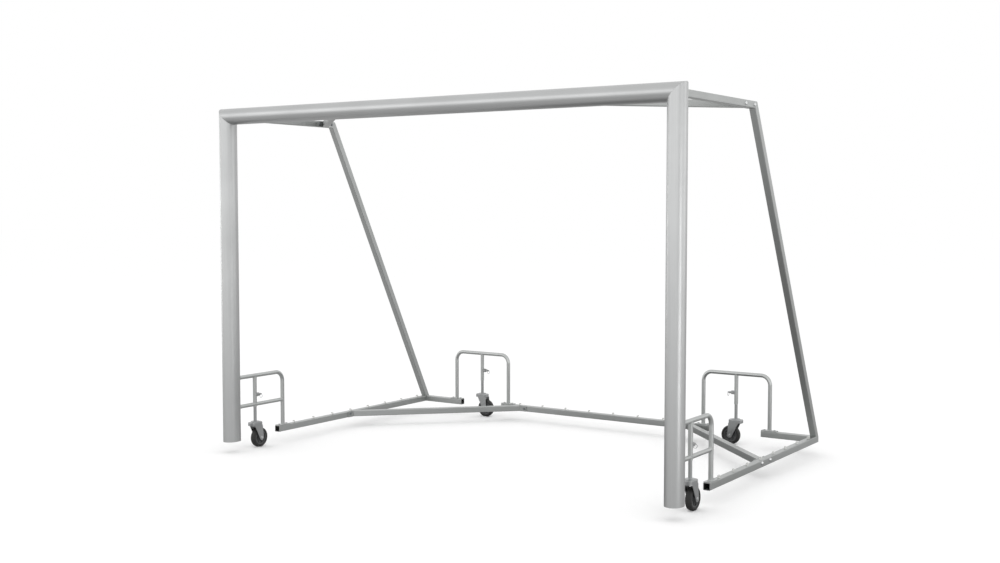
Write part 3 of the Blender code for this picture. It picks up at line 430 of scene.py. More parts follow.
# %% Posts and crossbar
oval = oval_section()
left_top, right_top = np.array([-POST_X, 0, BAR_Z]), np.array([POST_X, 0, BAR_Z])
crossbar_grid = straight(
    oval, np.array([0, 0, BAR_Z]), Z, Y, X, halved(left_top, Z, X, 1), halved(right_top, X, -Z, -1)
)
crossbar = piece("crossbar_oval", [(crossbar_grid, "loop")], oval_aluminium, "frame")
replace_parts(crossbar, "crossbar")
for hand, side in (("left", -1), ("right", 1)):
    top = np.array([side * POST_X, 0, BAR_Z])
    post_grid = straight(oval, top * [1, 1, 0], X, Y, Z, square_end, halved(top, Z, -side * X, -1))
    post = piece(hand + "_post_oval", [(post_grid, "loop")], oval_aluminium, "frame")
    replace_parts(post, hand + "_post")
print("oval outline points:", len(oval[0]))

# %% [markdown]
# ## Side frames and base
#
# The side frames are square tube: an arm back from the corner, a stay that slopes down at about 62
# degrees, a runner on the ground and a short tube round the rear corner. The arm is coped to the back
# of the corner, where the surface is the oval of the post below the mitre and of the bar above it.

# %% The slope of the stay
top_edge = np.array([0, TOP_DEPTH, BAR_Z + TUBE / 2])
foot_edge = np.array([0, BASE_DEPTH, TUBE])
slope = (foot_edge - top_edge) / np.linalg.norm(foot_edge - top_edge)
inward = np.array([0, slope[2], -slope[1]])
print("stay slope in degrees:", round(float(np.degrees(np.arctan2(-slope[2], slope[1]))), 1))


def stay_corner(side):
    """Where the middle line of the stay reaches the height of the arm."""
    on_stay = top_edge + [side * SIDE_X, 0, 0] + inward * TUBE / 2
    return on_stay + slope * (BAR_Z - on_stay[2]) / slope[2]


def to_corner_back(side):
    """Push to the back of the mitred corner: the oval's depth at the offset from the nearer member."""

    def push(points, line):
        u, v = side * points[:, 0] - POST_X, points[:, 2] - BAR_Z
        offset = np.where(u > v, np.abs(u), np.abs(v))
        return oval_back(offset) + SEAM - points[:, 1]

    return push


# %% Arms, stays, runners and rear tubes
square = tube_section()
fine_square = tuple(evenly(loop, 96) for loop in square)
for hand, side in (("left", -1), ("right", 1)):
    corner = stay_corner(side)
    rear = np.array([side * SIDE_X, REAR_Y, BASE_Z])
    arm = straight(
        fine_square, corner * [1, 0, 1], X, Z, Y, to_corner_back(side), halved(corner, Y, slope, -1)
    )
    sloping = straight(
        square, corner, X, inward, slope, halved(corner, Y, slope, 1), to_plane(Z * (TUBE + SEAM), Z)
    )
    runner_front = rear * [1, 0, 1] + Y * RUNNER_FRONT
    runner = straight(square, runner_front, X, Z, Y, square_end, halved(rear, Y, -side * X, -1))
    stub_end = rear * [0, 1, 1] + X * side * STUB_END
    stub = straight(square, stub_end, Y, Z, side * X, square_end, halved(rear, side * X, -Y, -1))
    tubes = ((arm, "top_arm"), (sloping, "rear_stay"), (runner, "side_runner"), (stub, "rear_stub"))
    for grid, name in tubes:
        tube = piece(hand + "_" + name + "_tube", [(grid, "loop")], aluminium, "frame")
        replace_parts(tube, hand + "_" + name)
bar = straight(square, rear * [0, 1, 1] - X * BAR_END, Y, Z, X, square_end, to_plane(X * BAR_END, X))
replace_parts(piece("middle_rear_bar_tube", [(bar, "loop")], aluminium, "frame"), "middle_rear_bar")

# %% [markdown]
# ## Plates, bolts and braces
#
# Flat bar parts are an outline carried through its thickness. To round their edges, the first and
# last rows repeat the outline slightly smaller, which makes a bevel. Bolt heads are
# turned about their axis, with a hexagon as the outline where they have flats.

# %% Plates and bolts


def plate(loop, origin, across, up, through, thickness, edge=0.0006):
    """The outline shrunk by the edge, full size, full size and shrunk again, through the thickness."""
    middle = (loop.max(axis=0) + loop.min(axis=0)) / 2
    half = (loop.max(axis=0) - loop.min(axis=0)) / 2
    small = middle + (loop - middle) * (1 - edge / half)
    rows = ((small, 0), (loop, edge), (loop, thickness - edge), (small, thickness))
    return np.stack([placed(ring, origin + through * depth, across, up) for ring, depth in rows])


def turned(profile, origin, across, up, through, outline=None):
    """A profile of (diameter, height) rows: each row is a circle, or another outline of that size."""
    shape = circle(1.0, 32) if outline is None else outline
    return np.stack([placed(shape * d, origin + through * h, across, up) for d, h in profile])


def hex_bolt(origin, across, up, out, flats=0.013, height=0.006, washer=0.020):
    """A washer, and a hexagon head whose corners are turned off at the top."""
    disc = [(0.0, 0), (washer, 0), (washer, 0.0012), (washer - 0.0008, 0.0016), (0.0, 0.0016)]
    head = [(0.0, 0.0016), (1.0, 0.0016), (1.0, height - 0.0008), (0.93, height), (0.0, height)]
    return [
        (turned(disc, origin, across, up, out), "poles"),
        (turned(head, origin, across, up, out, hexagon(flats)), "poles"),
    ]


def domed_bolt(origin, across, up, out, head=0.0220, height=0.0090):
    """A dome: the diameter follows the cosine and the height follows the sine."""
    t = np.linspace(0, np.pi / 2, 7)
    dome = np.stack([head * np.cos(t), 0.0012 + (height - 0.0012) * np.sin(t)], -1)
    profile = [(0.0, 0.0), (head, 0.0), *dome.tolist()]
    return [(turned(profile, origin, across, up, out), "poles")]


# %% [markdown]
# Each brace runs at 45 degrees between two end plates, 160 by 40 mm. One pair stiffens the ground
# frame, the other holds the crossbar square to the arms. At the crossbar the plate is bent to the
# oval, so its outline is the gap between the oval and a flat back. The bolts through the square tubes
# show outside as domed heads and inside as nuts.

# %% Braces
FLOOR_BRACE_Y, TOP_BRACE_Y = 1.1675, 0.8775
PLATE, PLATE_THICK, PLATE_BOLT = 0.160, 0.005, 0.061
BOLT_BACK, BOLT_RISE = 0.004, 0.005
inner_face = SIDE_X - TUBE / 2 - SEAM
bar_face = REAR_Y - TUBE / 2 - SEAM


def saddle_grid(x, width):
    """Heights run up the oval side and down the flat side; the outline is carried along the bar."""
    h = np.linspace(-TUBE / 2, TUBE / 2, 17)
    front = np.stack([oval_back(h) + SEAM, h], -1)
    back = np.stack([0 * h + OVAL_DEPTH / 2 + SEAM + PLATE_THICK, h[::-1]], -1)
    loop = np.concatenate([front, back])
    ends = (x - width / 2, x + width / 2)
    return np.stack([placed(loop, X * end + Z * BAR_Z, Y, Z) for end in ends])


outline = rounded(PLATE, TUBE, TUBE_CORNER)
for hand, side in (("left", -1), ("right", 1)):
    start = np.array([side * inner_face, FLOOR_BRACE_Y, BASE_Z])
    line = np.array([-side, 1, 0]) / np.sqrt(2)
    land = start + line * (bar_face - start[1]) / line[1]
    plate_face = to_plane(start - side * X * PLATE_THICK, X)
    land_face = to_plane(land - Y * PLATE_THICK, Y)
    strut = straight(square, start, np.cross(Z, line), Z, line, plate_face, land_face)
    grids = [
        (strut, "loop"),
        (plate(outline, start, Y, Z, -side * X, PLATE_THICK), "caps"),
        (plate(outline, land, X, Z, -Y, PLATE_THICK), "caps"),
    ]
    brace = piece(hand + "_floor_brace_tube", grids, aluminium, "frame")
    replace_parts(brace, hand + "_floor_brace")
    nuts, domes = [], []
    for off in (-PLATE_BOLT, PLATE_BOLT):
        along = Y * (off + BOLT_BACK) + Z * BOLT_RISE
        domes += domed_bolt(start + along + side * X * (TUBE + SEAM), Y, Z, side * X)
        nuts += hex_bolt(start + along - side * X * PLATE_THICK, Y, Z, -side * X)
        nuts += hex_bolt(land + X * off - Y * PLATE_THICK, X, Z, -Y)
        domes += domed_bolt(land + X * off + Y * (TUBE + SEAM), X, Z, Y)
    piece(hand + "_floor_brace_nuts", nuts, bolt_zinc, "frame")
    piece(hand + "_floor_brace_bolts", domes, bright_zinc, "frame")

    start = np.array([side * inner_face, TOP_BRACE_Y, BAR_Z])
    line = np.array([-side, -1, 0]) / np.sqrt(2)
    back = OVAL_DEPTH / 2 + SEAM + PLATE_THICK
    land = start + line * (back - start[1]) / line[1]
    plate_face = to_plane(start - side * X * PLATE_THICK, X)
    strut = straight(square, start, np.cross(Z, line), Z, line, plate_face, to_plane(land, Y))
    grids = [
        (strut, "loop"),
        (plate(outline, start, Y, Z, -side * X, PLATE_THICK), "caps"),
        (saddle_grid(land[0], PLATE), "caps"),
    ]
    brace = piece(hand + "_top_brace_tube", grids, aluminium, "frame")
    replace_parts(brace, hand + "_top_brace")
    nuts, domes = [], []
    for off in (-PLATE_BOLT, PLATE_BOLT):
        domes += domed_bolt(start + Y * off + side * X * (TUBE + SEAM), Y, Z, side * X)
        nuts += hex_bolt(start + Y * off - side * X * PLATE_THICK, Y, Z, -side * X)
        nuts += hex_bolt(land + X * off, X, Z, Y)
    piece(hand + "_top_brace_nuts", nuts, bolt_zinc, "frame")
    piece(hand + "_top_brace_bolts", domes, bright_zinc, "frame")
print("floor brace lands at x =", round(float(abs(start[0] - (bar_face - FLOOR_BRACE_Y))), 4))

# %% [markdown]
# ## Net hooks
#
# Twenty-four small moulded arches hold the bottom of the net, eight on each base tube. The cord is
# pushed in under the lip. The middle line of the arch is a stem, a half circle and a short lip, and
# the strip is that line moved to both sides by half of its thickness.

# %% Net hooks


def strip_outline(path, thickness):
    """The middle line moved to both sides along its normals, joined into one loop."""
    direction = np.gradient(path, axis=0)
    direction /= np.linalg.norm(direction, axis=1)[:, None]
    normal = np.stack([-direction[:, 1], direction[:, 0]], -1) * thickness / 2
    return np.concatenate([path + normal, (path - normal)[::-1]])


HOOK_REACH, HOOK_TOP, HOOK_THICK = 0.0065, 0.0145, 0.0030
HOOKS_A_TUBE, RUNNER_HOOKS, BAR_HOOKS = 8, (0.558, 1.9125), (-0.6755, 0.6755)
turn = np.linspace(np.pi, -0.15, 18)
arch = np.stack([np.cos(turn), np.sin(turn)], -1) * HOOK_REACH + [0, HOOK_TOP - HOOK_REACH]
stem_line = np.stack([np.full(4, -HOOK_REACH), np.linspace(0, HOOK_TOP - HOOK_REACH - 0.001, 4)], -1)
hook_loop = strip_outline(np.concatenate([stem_line, arch]), HOOK_THICK)


def net_hook(foot, outward, along):
    """The arched strip, 10 mm wide, on a flat foot pad 18 mm long."""
    pad = plate(rounded(0.016, 0.018, 0.003, 4), foot, outward, along, Z, 0.0016, 0.0004)
    hook = plate(hook_loop, foot - along * 0.005, outward, Z, along, 0.010, 0.0005)
    return [(pad, "caps"), (hook, "caps")]


hooks = []
for side in (-1, 1):
    for y in np.linspace(*RUNNER_HOOKS, HOOKS_A_TUBE):
        hooks += net_hook(np.array([side * SIDE_X, y, TUBE]), side * X, Y)
for x in np.linspace(*BAR_HOOKS, HOOKS_A_TUBE):
    hooks += net_hook(np.array([x, REAR_Y, TUBE]), Y, X)
piece("net_hooks", hooks, polyethylene, "frame")
print("net hooks:", len(hooks) // 2)

# %% [markdown]
# ## Wheel brackets
#
# Each caster hangs from a bent tube. A rear one stands on two bolted foot plates. A front one runs
# from the back of the post to a single plate, with a second rail below. A bent tube is an outline
# carried along straight runs and arcs. From here on every grid is worked out once, with the
# stem's axis as its origin and its first axis along the trail of the wheel, and then set into each
# corner by one change of axes.

# %% The four corners
FOOT_TOP, PLATE_LONG, FOOT_BOLT = 0.0453, 0.104, 0.034
FOOT_HEAD, FOOT_HEAD_HEIGHT, WELD_SINK = 0.0150, 0.0060, 0.001
FRONT_SLEEVE_Y, REAR_SLEEVE_X, FRONT_LEG, REAR_LEG, LEG_END = 0.198, 1.0115, 0.254, 0.2325, 0.044
BRACKET_TUBE, BRACKET_AXIS, BEND = 0.026, 0.398, 0.060
RAIL_TUBE, RAIL_Z, SLEEVE, SLEEVE_BORE, SLEEVE_LOW = 0.025, 0.211, 0.0255, 0.0211, 0.196
CORNERS = {
    "front_left": (np.array([-SIDE_X, FRONT_SLEEVE_Y, 0]), Y),
    "front_right": (np.array([SIDE_X, FRONT_SLEEVE_Y, 0]), Y),
    "rear_left": (np.array([-REAR_SLEEVE_X, REAR_Y, 0]), X),
    "rear_right": (np.array([REAR_SLEEVE_X, REAR_Y, 0]), -X),
}


def at_corner(name, grids):
    """Local (u, v, w) becomes place + u * heading + v * (up x heading) + w * up."""
    place, heading = CORNERS[name]
    axes = np.stack([heading, np.cross(Z, heading), Z])
    return [(grid @ axes + place, kind) for grid, kind in grids]


def bent(loop, corners, start=square_end, end=square_end, steps=16):
    """Rows square to the path: at its ends, and along a quarter circle in each of its corners."""
    unit = [(b - a) / np.linalg.norm(b - a) for a, b in zip(corners, corners[1:])]
    middles, tangents = [corners[0]], [unit[0]]
    for corner, a, b in zip(corners[1:], unit, unit[1:]):
        t = np.linspace(0, np.pi / 2, steps)[:, None]
        middles += list(corner - a * BEND + b * BEND * (1 - np.cos(t)) + a * BEND * np.sin(t))
        tangents += list(a * np.cos(t) + b * np.sin(t))
    middles, tangents = middles + [corners[-1]], tangents + [unit[-1]]
    rows = [placed(loop, m, Y, np.cross(t, Y)) for m, t in zip(middles, tangents)]
    rows[0] = rows[0] + start(rows[0], unit[0])[:, None] * unit[0]
    rows[-1] = rows[-1] + end(rows[-1], unit[-1])[:, None] * unit[-1]
    return np.stack(rows)


# %% [markdown]
# The joints are welded by hand, so each has a bead with the small even ripples of a weld pool that
# was moved forward in steps. The bead is a thin torus along the joint whose radius rises and falls
# about every 3 mm.

# %% Weld beads


def bead(path, outward, along, size=0.005, ripple=0.003):
    """Path point + radius * (cos a * outward + sin a * along), with a radius that ripples."""
    step = np.linalg.norm(np.roll(path, -1, axis=0) - path, axis=1)
    turns = np.cumsum(step) * (2 * np.pi * np.round(step.sum() / ripple) / step.sum())
    radius = (size / 2 * (1 + 0.12 * np.sin(turns)))[:, None, None]
    a = np.linspace(0, 2 * np.pi, 8, endpoint=False)[None, :, None]
    return path[:, None, :] + radius * (np.cos(a) * outward[:, None, :] + np.sin(a) * along)


def joint_bead(diameter, origin, across, up, line, push=square_end, size=0.005):
    """The bead where a round tube meets what it is welded to."""
    loop = circle(diameter, 132)
    points = placed(loop, origin, across, up)
    out = placed(loop / (diameter / 2), 0 * origin, across, up)
    return bead(points + push(points, line)[:, None] * line, out, line, size)


# %% Bracket grids
tube_loop = circle(BRACKET_TUBE, 40)
sleeve_pair = (circle(SLEEVE, 48), circle(SLEEVE_BORE, 48))
rail_pair = (circle(RAIL_TUBE, 48), circle(RAIL_TUBE - 0.0052, 48))
under_rail = to_round(Z * BRACKET_AXIS, X, BRACKET_TUBE / 2 - WELD_SINK, -1)
sleeve_grid = straight(sleeve_pair, Z * SLEEVE_LOW, X, Y, Z, square_end, under_rail)


def foot(distance):
    """Foot plate, and the bead round the leg."""
    place = X * distance + Z * (TUBE + SEAM)
    grids = [(plate(rounded(PLATE_LONG, TUBE, TUBE_CORNER), place, X, Y, Z, 0.005), "caps")]
    grids.append((joint_bead(BRACKET_TUBE, X * distance + Z * FOOT_TOP, X, Y, Z), "loop"))
    return grids


def foot_bolts(distance):
    """The two low domed heads on a foot plate."""
    grids = []
    for off in (-FOOT_BOLT, FOOT_BOLT):
        place = X * (distance + off) + Z * FOOT_TOP
        grids += domed_bolt(place, X, Y, Z, FOOT_HEAD, FOOT_HEAD_HEIGHT)
    return grids


def rear_bracket():
    """Up one leg, across and down the other, with the sleeve under the middle."""
    near, far, low, high = X * -REAR_LEG, X * REAR_LEG, Z * LEG_END, Z * BRACKET_AXIS
    ends = [near + low, near + high, far + high, far + low]
    bead_under = joint_bead(SLEEVE, Z * SLEEVE_LOW, X, Y, Z, under_rail, 0.004)
    grids = [(bent(tube_loop, ends), "caps"), (sleeve_grid, "loop"), (bead_under, "loop")]
    return grids + foot(-REAR_LEG) + foot(REAR_LEG)


def front_bracket(shift, leg=FRONT_LEG, post=-FRONT_SLEEVE_Y):
    """From the back of the post to the sleeve, on to the bend and down, with a second rail below."""

    def to_post(points, line):
        return post + oval_back(points[:, 1] - shift) + SEAM - points[:, 0]

    ends = [X * post + Z * BRACKET_AXIS, X * leg + Z * BRACKET_AXIS, X * leg + Z * LEG_END]
    low = Z * RAIL_Z
    near = to_round(low, Z, SLEEVE / 2 - WELD_SINK, -1)
    far = to_round(low, Z, SLEEVE / 2 - WELD_SINK, 1)
    at_leg = to_round(low + X * leg, Z, BRACKET_TUBE / 2 - WELD_SINK, -1)
    grids = [
        (bent(tube_loop, ends, start=to_post), "caps"),
        (sleeve_grid, "loop"),
        (straight(rail_pair, low + X * post, Y, Z, X, to_post, near), "loop"),
        (straight(rail_pair, low, Y, Z, X, far, at_leg), "loop"),
        (joint_bead(SLEEVE, Z * SLEEVE_LOW, X, Y, Z, under_rail, 0.004), "loop"),
        (joint_bead(BRACKET_TUBE, X * post + Z * BRACKET_AXIS, Y, Z, X, to_post), "loop"),
        (joint_bead(RAIL_TUBE, low + X * post, Y, Z, X, to_post), "loop"),
        (joint_bead(RAIL_TUBE, low, Y, Z, X, near, 0.004), "loop"),
        (joint_bead(RAIL_TUBE, low, Y, Z, X, far, 0.004), "loop"),
        (joint_bead(RAIL_TUBE, low, Y, Z, X, at_leg, 0.004), "loop"),
    ]
    return grids + foot(leg)


# %% Brackets in their places
for name in CORNERS:
    hand = 1 if name.endswith("right") else -1
    if name.startswith("front"):
        grids, legs = front_bracket(hand * (SIDE_X - POST_X)), (FRONT_LEG,)
    else:
        grids, legs = rear_bracket(), (-REAR_LEG, REAR_LEG)
    bracket = piece(name + "_bracket_tube", at_corner(name, grids), bracket_aluminium, "frame")
    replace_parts(bracket, name + "_bracket")
    bolts = [grid for leg in legs for grid in foot_bolts(leg)]
    piece(name + "_foot_bolts", at_corner(name, bolts), zinc, "frame")
print("brackets:", len(CORNERS))

# %% [markdown]
# ## Index plungers
#
# A spring plunger locks the height of each wheel. Its hexagon is welded to the sleeve, and a ring
# pulls the pin out. The body is hollow here too, so the pin has room to slide. The coil spring sits
# between the pin's collar and the end of the neck, and pulling the ring squeezes it. Here the spring
# is a piece on the frame with a mesh of its own.

# %% Plunger bodies, pins and rings
PLUNGER_Z, EYE_X, EYE, EYE_HOLE = 0.272, 0.0555, 0.0100, 0.0044
RING, WIRE, PULL = 0.0240, 0.0026, 0.0075
fine_hexagon, fine_circle = hexagon(1.0), circle(1.0, 48)


def plunger_body():
    """Outer rows from the sleeve to the end of the neck, then inner rows back, as one looped grid."""
    body = [(0.022, 0.012), (0.022, 0.0332), (0.0208, 0.0340)]
    neck = [(0.0150, 0.0340), (0.0150, 0.0470), (0.0132, 0.0480), (0.0056, 0.0480), (0.0056, 0.0440)]
    chamber = [(0.0110, 0.0440), (0.0110, 0.0175), (0.0066, 0.0175), (0.0066, 0.012)]
    rows = [(fine_hexagon * d, distance) for d, distance in body]
    rows += [(fine_circle * d, distance) for d, distance in neck + chamber]
    grid = np.stack([placed(loop, X * distance + Z * PLUNGER_Z, Y, Z) for loop, distance in rows])
    push = to_round(0 * Z, Z, SLEEVE / 2 + SEAM, 1)
    grid[0] = grid[0] + push(grid[0], X)[:, None] * X
    grid[-1] = grid[-1] + push(grid[-1], X)[:, None] * X
    return [(grid, "loop")]


def plunger_pin():
    """A turned pin, and a flat eye: its outer round and its hole as one looped grid."""
    nose = [(0, 0.0080), (0.0045, 0.0080), (0.0060, 0.0088), (0.0060, 0.0178)]
    collar = [(0.0100, 0.0178), (0.0100, 0.0208), (0.0050, 0.0208)]
    profile = nose + collar + [(0.0050, EYE_X - 0.0036), (0, EYE_X - 0.0036)]
    half, edge = 0.0020, 0.0005
    rings = [(EYE - 2 * edge, -half), (EYE, edge - half), (EYE, half - edge), (EYE - 2 * edge, half)]
    rings += [(EYE_HOLE + 2 * edge, half), (EYE_HOLE, half - edge)]
    rings += [(EYE_HOLE, edge - half), (EYE_HOLE + 2 * edge, -half)]
    centre = X * EYE_X + Z * PLUNGER_Z
    return [(turned(profile, Z * PLUNGER_Z, Y, Z, X), "poles"), (turned(rings, centre, X, Z, Y), "loop")]


def pull_ring():
    """(R + r cos a) outwards and r sin a along the axis: a torus that hangs in the eye."""
    a = np.linspace(0, 2 * np.pi, 14, endpoint=False)
    profile = np.stack([RING + WIRE * np.cos(a), WIRE / 2 * np.sin(a)], -1)
    hung = X * EYE_X + Z * (PLUNGER_Z - RING / 2 - 0.0002)
    return [(turned(profile, hung, Y, Z, X, circle(1.0, 64)), "loop")]


def coil_spring(first=0.0216, last=0.0432, turns=4, mean=0.0080, wire=0.0010):
    """A circle carried along mean / 2 times (cos a, sin a), which moves on evenly with a."""
    a = np.linspace(0, 2 * np.pi * turns, 24 * turns + 1)[:, None, None]
    outward = np.concatenate([0 * a, np.cos(a), np.sin(a)], -1)
    middle = (first + (last - first) * a / a[-1]) * X + Z * PLUNGER_Z + mean / 2 * outward
    ring = circle(wire, 8)
    return [(middle + ring[:, :1] * outward + ring[:, 1:] * X, "caps")]


for name in CORNERS:
    body = piece(name + "_plunger_hexagon", at_corner(name, plunger_body()), zinc, "frame")
    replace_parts(body, name + "_plunger_body")
    pin = piece(name + "_plunger_shaft", at_corner(name, plunger_pin()), zinc, name + "_pin")
    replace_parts(pin, name + "_plunger_pin")
    ring = piece(name + "_ring_wire", at_corner(name, pull_ring()), zinc, name + "_ring", sharp=60)
    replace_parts(ring, name + "_pull_ring")
    spring = piece(name + "_coil_spring", at_corner(name, coil_spring()), zinc, "frame", sharp=60)
    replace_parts(spring, name + "_plunger_spring")
    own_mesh(spring)
print("ring hangs to z =", round(PLUNGER_Z - RING - WIRE / 2, 4))

# %% [markdown]
# ## Casters
#
# The stem slides in the sleeve. Under it are the two plates of the ball race, and the pressed fork
# turns between them. The fork's crown is a shallow cup: its plan is a circle with two flattened
# sides, and every row of the grid is that plan, drawn in further towards the top.

# %% Stem and race
CROWN_Z, SHEET, TRAIL, AXLE_Z = 0.096, 0.003, 0.034, -0.0085
CAP_LOW = CROWN_Z + SEAM
CAP_TOP = CAP_LOW + 0.0045
CUP_TOP = CROWN_Z - SHEET - SEAM
CUP_LOW = CUP_TOP - 0.004


def stem_and_race():
    """One turned profile from the bottom of the bore, over the tube's rim and down to the race cup."""
    tube = [(0, CAP_TOP), (0.0161, CAP_TOP), (0.0161, 0.2994)]
    tube += [(0.0169, 0.3000), (0.0197, 0.3000), (0.0205, 0.2994)]
    cap = [(0.0205, CAP_TOP + 0.0022), (0.0222, CAP_TOP + 0.0006), (0.0240, CAP_TOP), (0.0490, CAP_TOP)]
    cap += [(0.0530, CAP_TOP - 0.0006), (0.0552, CAP_TOP - 0.0018)]
    cap += [(0.0560, CAP_TOP - 0.0032), (0.0560, CAP_LOW)]
    cup = [(0.012, CAP_LOW), (0.012, CUP_TOP), (0.040, CUP_TOP)]
    cup += [(0.040, CUP_LOW + 0.001), (0.038, CUP_LOW), (0, CUP_LOW)]
    nut = [(0, CUP_LOW), (1, CUP_LOW), (1, CUP_LOW - 0.006), (0.93, CUP_LOW - 0.007), (0, CUP_LOW - 0.007)]
    return [
        (turned(tube + cap + cup, 0 * Z, X, Y, Z, circle(1.0, 48)), "poles"),
        (turned(nut, 0 * Z, X, Y, Z, hexagon(0.0164)), "poles"),
    ]


# %% Pressed fork
CROWN, FORK_WIDTH, SKIRT = 0.094, 0.053, 0.023


def crown_plan(count=96):
    """Points spread evenly round a circle whose two sides are cut flat, with 8 mm rounds between."""
    radius, middle, corner = CROWN / 2, FORK_WIDTH / 2 - 0.008, 0.008
    flat = np.sqrt((radius - corner) ** 2 - middle**2)
    edge = np.arctan2(middle, flat)
    small, large = np.linspace(edge, np.pi / 2, 8), np.linspace(-edge, edge, 24)
    right = radius * np.stack([np.cos(large), np.sin(large)], -1)
    upper = [flat, middle] + corner * np.stack([np.cos(small), np.sin(small)], -1)
    half = np.concatenate([right, upper, (upper * [-1, 1])[::-1]])
    return evenly(np.concatenate([half, -right, -upper, -(upper * [-1, 1])[::-1]]), count)


def crown_grid():
    """Plan points move in along their normals and up by (inset, height); the middle is a round hole."""
    plan = crown_plan()
    along = np.roll(plan, -1, axis=0) - np.roll(plan, 1, axis=0)
    inward = np.stack([-along[:, 1], along[:, 0]], -1) / np.linalg.norm(along, axis=1)[:, None]
    hole = plan / np.linalg.norm(plan, axis=1)[:, None] * 0.0064
    low, t = CROWN_Z - SKIRT, np.linspace(0, np.pi / 2, 7)
    outside = [(0.0005, low), (0, low + 0.0005)]
    outside += [(0.005 * (1 - np.cos(a)), CROWN_Z - 0.005 + 0.005 * np.sin(a)) for a in t]
    inside = [(SHEET + 0.002 * (1 - np.cos(a)), CROWN_Z - SHEET - 0.002 + 0.002 * np.sin(a)) for a in t[::-1]]
    inside += [(SHEET, low + 0.0005), (SHEET - 0.0005, low)]
    rows = [placed(plan + inward * inset, Z * z, X, Y) for inset, z in outside]
    rows += [placed(hole, Z * z, X, Y) for z in (CROWN_Z, CROWN_Z - SHEET)]
    return np.stack(rows + [placed(plan + inward * inset, Z * z, X, Y) for inset, z in inside])


def blade_loop():
    """Down the front edge, round the axle and up the rear edge; the straight edges touch the round."""
    axle, radius, low = np.array([TRAIL, AXLE_Z]), 0.017, CROWN_Z - SKIRT
    front, rear = np.array([-0.025, low]), np.array([0.043, low])
    a, b = front - axle, rear - axle
    start = np.arctan2(a[1], a[0]) + np.arccos(radius / np.linalg.norm(a))
    end = np.arctan2(b[1], b[0]) - np.arccos(radius / np.linalg.norm(b)) + 2 * np.pi
    t = np.linspace(start, end, 28)
    root = low + SKIRT / 2
    arc = axle + radius * np.stack([np.cos(t), np.sin(t)], -1)
    return np.concatenate([[front], arc, [rear], [[0.025, root], [-0.025, root]]])


def fork():
    """Crown, and two blades set 0.15 mm in from its sides."""
    grids = [(crown_grid(), "loop")]
    for side in (-1, 1):
        inner = side * (FORK_WIDTH / 2 - SHEET + 0.00015)
        grids.append((plate(blade_loop(), Y * inner, X, Z, Y * side, SHEET - 0.0003, 0.0005), "caps"))
    return grids


def axle():
    """Shaft through both blades, with a hexagon and a washer on either side."""
    place = X * TRAIL + Z * AXLE_Z
    grids = [(turned([(0, -0.027), (0.008, -0.027), (0.008, 0.027), (0, 0.027)], place, X, Z, Y), "poles")]
    for side in (-1, 1):
        face = place + Y * side * (FORK_WIDTH / 2)
        grids += hex_bolt(face, X, Z, Y * side, 0.0130, 0.0034, 0.0175)
    return grids


# %% [markdown]
# ## Wheels
#
# The wheel is 125 mm across: a black rubber tyre on a moulded centre. Both are turned profiles. The
# centre also has eight ribs on each side between its boss and its rim, so that one can see it turn.

# %% Tyre and hub
WHEEL, WHEEL_WIDTH, SEAT = 0.125, 0.036, 0.090


def tyre():
    """Half the profile, from the bead up the side wall and round the shoulder, then its mirror image."""
    t = np.linspace(-np.pi / 2, 0, 10)
    shoulder = np.stack([WHEEL - 0.018 + 0.018 * np.cos(t), -WHEEL_WIDTH / 2 + 0.009 + 0.009 * np.sin(t)], -1)
    wall = [(SEAT, -0.0146), (SEAT + 0.0012, -0.0154), (0.0955, -0.0163), (0.0965, -0.0172)]
    wall += [(0.0980, -0.0176), (0.1000, -0.0172), (0.1015, -0.0174)]
    half = np.concatenate([wall, shoulder, [(WHEEL, -0.003)]])
    profile = np.concatenate([half, (half * [1, -1])[::-1]])
    return [(turned(profile, X * TRAIL + Z * AXLE_Z, X, Z, Y, circle(1.0, 96)), "loop")]


def hub():
    """Boss, dished web and rim as one looped profile, and ribs as thin plates."""
    boss = [(0.0086, 0.0230), (0.0236, 0.0230), (0.0250, 0.0223), (0.0258, 0.0140)]
    web = [(0.0300, 0.0062), (0.0340, 0.0050), (0.0700, 0.0050), (0.0752, 0.0062), (0.0774, 0.0090)]
    rim = [(0.0780, 0.0142), (0.0788, 0.0150), (0.0890, 0.0150), (SEAT - 0.0006, 0.0142)]
    half = np.array(boss + web + rim)
    place = X * TRAIL + Z * AXLE_Z
    profile = np.concatenate([half, (half * [1, -1])[::-1]])
    grids = [(turned(profile, place, X, Z, Y, circle(1.0, 96)), "loop")]
    rib = rounded(0.0140, 0.0026, 0.0012, 4)
    for angle in np.arange(8) * np.pi / 4 + np.pi / 8:
        out = np.array([np.cos(angle), 0, np.sin(angle)])
        start = place + out * 0.0120
        grids.append((plate(rib * [1.9, 1], start, Y, np.cross(out, Y), out, 0.0275, 0.0004), "caps"))
    return grids


# %% Casters in their places
for name in CORNERS:
    stem = piece(name + "_stem_and_race", at_corner(name, stem_and_race()), zinc, name + "_stem")
    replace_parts(stem, name + "_caster_stem")
    pressed = piece(name + "_pressed_fork", at_corner(name, fork()), zinc, name + "_fork")
    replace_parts(pressed, name + "_caster_fork")
    bolt = piece(name + "_axle_bolt", at_corner(name, axle()), bright_zinc, name + "_fork")
    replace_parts(bolt, name + "_caster_axle")
    rubber_tyre = piece(name + "_rubber_tyre", at_corner(name, tyre()), rubber, name + "_wheel", sharp=50)
    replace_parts(rubber_tyre, name + "_wheel_tyre")
    centre = piece(name + "_wheel_centre", at_corner(name, hub()), polyamide, name + "_wheel")
    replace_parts(centre, name + "_wheel_hub")
print("wheel rests at z =", round(float(AXLE_Z + ORIGIN[2] - WHEEL / 2), 5))

